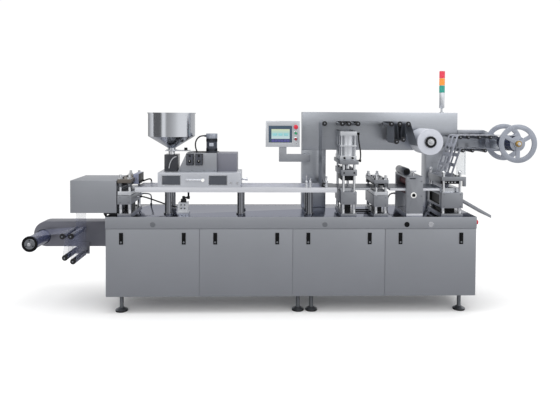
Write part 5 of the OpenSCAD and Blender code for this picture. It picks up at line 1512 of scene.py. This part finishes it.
class SealingOperator(bpy.types.Operator):
    """Finishes the sealing station with its platen, cylinders and air fittings"""

    bl_idname = "blister.sealing"
    bl_label = "Sealing station"

    def execute(self, context):
        sizes = context.scene.machine_sizes
        block_low, block_top = BED_TOP + 98 * MM, FILM_TOP - 27 * MM
        legs_low = BED_TOP + 22 * MM
        shelf_low = FILM_TOP - 19 * MM
        platen_low, platen_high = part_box("sealing_platen")
        station_right = platen_high.x

        def base_finish(middle, normal):
            if middle.z > FILM_TOP + 1 * MM:
                return 1
            if legs_low + SLACK < middle.z < block_low - SLACK:
                return legs_and_painted_shade_finish(middle)
            if middle.x > station_right + 1 * MM and middle.z < legs_low:
                return 2
            return 3 if middle.z > shelf_low else 0

        def platen_finish(middle, normal):
            if middle.z > platen_low.z + 96 * MM:
                return 1
            return 2 if middle.z < platen_low.z + 46.5 * MM else 0

        edge = sizes.plate_edge
        finish_node("sealing_base", [*STATION_STEELS, "polished_stainless_steel"], base_finish, edge)
        finish_node("sealing_platen", STATION_STEELS, platen_finish, edge)
        finish_node("sealing_top_plate", ["ground_tool_steel", "moulded_black_plastic"],
                    lambda middle, normal: 1 if middle.x > station_right + 13 * MM else 0, edge)
        low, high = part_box("sealing_cylinders")
        cylinder_right = station_right + 4 * MM + SLACK
        finish_node("sealing_cylinders", ["anodised_aluminium", "moulded_black_plastic"],
                    lambda middle, normal: 1 if middle.x > cylinder_right else 0, 1.5 * MM)
        station_cover("sealing_platen", block_low, block_top, "sealing_cover", "ground_tool_steel")
        self.fittings(low, high, cylinder_right)
        self.details(platen_low, platen_high)
        return {"FINISHED"}

    def fittings(self, low, high, right):
        """Dark elbow fittings at the foot of the front cylinder and screws on its caps."""
        middle = (low.x + right) / 2
        fitting = turned((0, -1), (9, -1), (9, 6), (6, 8), (6, 14), (8, 15), (8, 22), (0, 22))
        parts = [lathe(fitting, (middle + x, low.y, low.z + 17 * MM), TO_FRONT, 20)
                 for x in (-34 * MM, 34 * MM)]
        piece(joined(parts), "cylinder_fittings", ["moulded_black_plastic"])
        side = 12 * MM
        split = (low.y + high.y) / 2
        ys = (low.y + side, split - side - 2 * MM, split + side + 2 * MM, high.y - side)
        nuts = on_top((low.x + side, right - side), ys, high.z)
        add_screws("tie_rod_nuts", nuts, "zinc_plated_steel", head=16 * MM)

    def details(self, low, high):
        """Cap screws on the platen's top and front."""
        rows = [STATION_FRONT + 45 * MM, FILM_MIDDLE, STATION_BACK - 45 * MM]
        top = low.z + 95 * MM
        on_platen = on_top((low.x + 28 * MM, high.x - 28 * MM), rows, top)
        add_screws("platen_screws", on_platen, "black_oxide_steel", "sealing_platen")
        front = on_front((low.x + 22 * MM, high.x - 22 * MM), STATION_FRONT, [top - 24 * MM])
        add_screws("platen_front_screws", front, "black_oxide_steel", "sealing_platen")


class CreasingOperator(bpy.types.Operator):
    """Finishes the creasing station with its springs, cover and screws"""

    bl_idname = "blister.creasing"
    bl_label = "Creasing station"

    def execute(self, context):
        lifting_station("creasing", "ground_tool_steel", 78 * MM)
        return {"FINISHED"}


class TractionOperator(bpy.types.Operator):
    """Finishes the traction unit, its rubber rollers, dial and clamping handle"""

    bl_idname = "blister.traction"
    bl_label = "Traction unit"

    def execute(self, context):
        sizes = context.scene.machine_sizes
        roll_low, roll_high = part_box("traction_rollers")
        centre = (roll_low + roll_high) / 2
        left, right = centre.x - TRACTION_HALF, centre.x + TRACTION_HALF
        lid = FILM_TOP + 103 * MM
        shelf_low, shelf_high = FILM_TOP - 20 * MM, FILM_TOP - 0.5 * MM
        slot_low, slot_high = lid - 23 * MM, lid - 13 * MM
        drum_x, drum_z = left + 20 * MM, lid + 31 * MM

        def unit_finish(middle, normal):
            if math.hypot(middle.x - drum_x, middle.z - drum_z) < 34 * MM:
                return 4
            if middle.z > lid + SLACK:
                return 1
            if middle.z < BED_TOP + 22.5 * MM:
                return 3
            in_slot = slot_low < middle.z < slot_high
            if in_slot and STATION_FRONT + 1 * MM < middle.y < STATION_FRONT + 8 * MM:
                return 2
            at_end = middle.x < left + 25 * MM or middle.x > right - 25 * MM
            if at_end and shelf_low < middle.z < shelf_high:
                return 3
            if middle.y < STATION_FRONT - 1 * MM:
                return 1
            return 0

        finishes = [*STATION_STEELS, "ground_track_stainless", "dark_polished_sleeve"]
        finish_node("traction_unit", finishes, unit_finish, sizes.plate_edge)
        finish_node("traction_rollers", ["dark_red_rubber"], None, 1 * MM)
        dial_x, dial_z = left + 61 * MM, lid - 156 * MM
        dial = turned((15, 0.5), (24, 0.5), (24, -2), (22, -4), (15, -4), (15, 0.5))
        knob = turned((0, -9), (10, -9), (13, -7), (13, 0), (0, 0))
        drum = turned((0, -4), (12, -4), (14, -2), (26, -1), (26, 1), (0, 1))
        parts = [lathe(dial, (dial_x, STATION_FRONT, dial_z), TO_BACK, 32, 0),
                 lathe(knob, (dial_x, STATION_FRONT - 4 * MM, dial_z), TO_BACK, 28, 1),
                 lathe(drum, (drum_x, STATION_FRONT + 75 * MM, drum_z), TO_BACK, 32, 1)]
        finishes = ["white_moulded_plastic", "moulded_black_plastic"]
        piece(joined(parts), "traction_dial", finishes)
        foot = solid_box((left + 1 * MM, STATION_FRONT - 3 * MM, BED_TOP + 0.5 * MM),
                         (right - 1 * MM, STATION_FRONT + 1 * MM, BED_TOP + 22 * MM), 0.8 * MM)
        piece(foot, "traction_foot_strip", ["ground_track_stainless"])
        edge = 12 * MM
        places = on_front((left + edge, right - edge), STATION_FRONT,
                          (BED_TOP + 36 * MM, FILM_TOP - 60 * MM, lid - 40 * MM))
        add_screws("cheek_screws", places, "zinc_plated_steel", head=9 * MM)
        return {"FINISHED"}


class PunchOperator(bpy.types.Operator):
    """Finishes the punching station, its guard and the outfeed chute"""

    bl_idname = "blister.punch"
    bl_label = "Punching station"

    def execute(self, context):
        sizes = context.scene.machine_sizes
        low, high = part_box("punch_base")
        block_low, block_top = BED_TOP + 68 * MM, FILM_TOP - 31 * MM
        legs_low = BED_TOP + 22 * MM
        head_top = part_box("punch_head")[1].z

        def base_finish(middle, normal):
            if middle.z > FILM_TOP:
                return 1
            if legs_low + SLACK < middle.z < block_low - SLACK:
                return legs_and_painted_shade_finish(middle)
            deep = low.x + 1 * MM < middle.x < low.x + 16 * MM
            level = block_low + 15 * MM < middle.z < block_top - 20 * MM
            if deep and level and abs(middle.y - (STATION_FRONT + STATION_BACK) / 2) < 130 * MM:
                return 2
            return 3 if middle.z > block_top - SLACK else 0

        plate_low = head_top - 33 * MM

        def head_finish(middle, normal):
            if middle.x > high.x + 1 * MM:
                return 2
            return 1 if middle.z < plate_low - SLACK and middle.y > STATION_FRONT + 1 * MM else 0

        edge = sizes.plate_edge
        finishes = ["ground_tool_steel", "hard_chrome", "moulded_black_plastic", "polished_stainless_steel"]
        finish_node("punch_base", finishes, base_finish, edge)
        finishes = ["ground_tool_steel", "black_oxide_steel", "polished_stainless_steel"]
        finish_node("punch_head", finishes, head_finish, edge)
        station_cover("punch_base", block_low, block_top, "punch_cover", "ground_tool_steel")
        acorn = turned((0, -2), (13, -2), (13, 5), (17, 8), (17, 18), (13, 26), (6, 30), (0, 31))
        nuts = [lathe(acorn, (x, y, high.z), UP, 24) for x, y in corner_columns("punch_base")]
        piece(joined(nuts), "punch_column_nuts", ["hard_chrome"])
        ring_z = plate_low - 15 * MM
        ring_front = FILM_FRONT - 30 * MM
        dots = on_front([low.x + 45 * MM + 26 * MM * k for k in range(4)], ring_front, [ring_z])
        add_screws("punch_ring_screws", dots, "hard_chrome", "punch_head", 10 * MM)
        top = on_top((high.x - 45 * MM, high.x - 15 * MM),
                     (STATION_FRONT + 60 * MM, FILM_MIDDLE, STATION_BACK - 60 * MM), head_top)
        add_screws("punch_plate_screws", top, "black_oxide_steel", "punch_head")
        finish_node("punch_guard", ["clear_acrylic_guard"], None, 0.8 * MM)
        finish_node("outfeed_chute", ["satin_stainless_sheet"], None, 0.7 * MM)
        return {"FINISHED"}


class WasteOperator(bpy.types.Operator):
    """Finishes the waste winder: arm, rollers, the punched web and the reel"""

    bl_idname = "blister.waste"
    bl_label = "Waste winder"

    def execute(self, context):
        sizes = context.scene.machine_sizes
        finish_node("waste_arm", ["brushed_stainless_sheet"], None, 2 * MM)
        boxes, radius = guide_rollers("waste_rollers")
        self.web(sizes, boxes, radius)
        self.reel()
        return {"FINISHED"}

    def web(self, sizes, boxes, radius):
        """Two punched strips, over the upper and the lower rollers, to the reel."""
        low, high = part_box("waste_reel")
        reel = (low + high) / 2
        core = 65 * MM
        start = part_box("waste_web")[0].z
        centres = middles(boxes)
        crest = max(c.z for c in centres) - 10 * MM
        upper = sorted((c for c in centres if c.z > crest), key=lambda c: c.x)
        lower = sorted((c for c in centres if c.z < crest), key=lambda c: c.x)
        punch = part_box("punch_base")[0].x
        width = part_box("waste_web")[1].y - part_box("waste_web")[0].y
        values = {"Width": width, "Pitch": sizes.waste_pitch, "Rung": sizes.waste_rung, "Windows": 2,
                  "Steps": 6, "Rung Steps": 2, "Thickness": 0.8 * MM}
        strips = (("waste_strip_upper", 20 * MM, upper, 1), ("waste_strip_lower", 80 * MM, lower, -1))
        for name, from_punch, row, side in strips:
            stops = [(punch + from_punch, start, 0.0, 0), over(row[0], radius, 1), over(row[-1], radius, 1),
                     over(reel, core, side)]
            line = line_mesh(web_path(stops, math.radians(15)), FILM_MIDDLE)
            grown(ladder_tree(), line, values, name, "punched_laminate",
                  replaces=["waste_web"])

    def reel(self):
        """Satin flanges, a dark wound core with its rungs, and a brass hub nut."""
        low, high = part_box("waste_reel")
        centre = (low + high) / 2
        front = FILM_FRONT - 12 * MM

        def reel_finish(middle, normal):
            away = Vector((middle.x - centre.x, middle.z - centre.z)).length
            if middle.y < front - SLACK:
                return 2
            inner = FILM_FRONT - 2 * MM < middle.y < FILM_BACK + 2 * MM
            return 1 if inner and away < 66 * MM and abs(normal.y) < 0.5 else 0

        nut = turned((15.5, 2), (22, 2), (22, -6), (20, -8), (15.5, -8), (15.5, 2))
        parts = [lathe(nut, (centre.x, low.y, centre.z), TO_BACK, 6, 2)]
        finishes = ["cast_light_alloy", "wound_laminate", "turned_brass"]
        finish_node("waste_reel", finishes, reel_finish, 1.2 * MM, parts)
        grown(rib_tree(), points_mesh([((centre.x, FILM_MIDDLE, centre.z), TO_BACK)]), {
            "Count": 14, "Radius": 64.9 * MM, "Rib Depth": 0.5 * MM, "Rib Width": 9 * MM,
            "Rib Length": 236 * MM},
            "wound_rungs", "lacquered_foil", "waste_reel")


class MachinePanel(bpy.types.Panel):
    """Lists the building steps and the values that they read"""

    bl_idname = "VIEW3D_PT_blister_machine"
    bl_label = "Blister Packing Machine"
    bl_space_type = "VIEW_3D"
    bl_region_type = "UI"
    bl_category = "Blister Machine"

    def draw(self, context):
        column = self.layout.column()
        for group in (context.scene.machine_sizes, context.scene.machine_colours):
            for name in group.__annotations__:
                column.prop(group, name)
        for step in STEPS:
            column.operator(step.bl_idname)


STEPS = (StageOperator, CordOperator, CabinetOperator, UnwindOperator, FormingOperator, FeederOperator,
         GantryOperator, PanelOperator, SealingOperator, CreasingOperator, TractionOperator, PunchOperator,
         WasteOperator)
CLASSES = (MachineSizes, MachineColours, *STEPS, MachinePanel)


def register():
    for item in CLASSES:
        bpy.utils.register_class(item)
    bpy.types.Scene.machine_sizes = bpy.props.PointerProperty(type=MachineSizes)
    bpy.types.Scene.machine_colours = bpy.props.PointerProperty(type=MachineColours)


def unregister():
    del bpy.types.Scene.machine_colours
    del bpy.types.Scene.machine_sizes
    for item in reversed(CLASSES):
        bpy.utils.unregister_class(item)


def main():
    register()
    for step in STEPS:
        group, name = step.bl_idname.split(".")
        getattr(getattr(bpy.ops, group), name)()


if __name__ == "__main__":
    main()
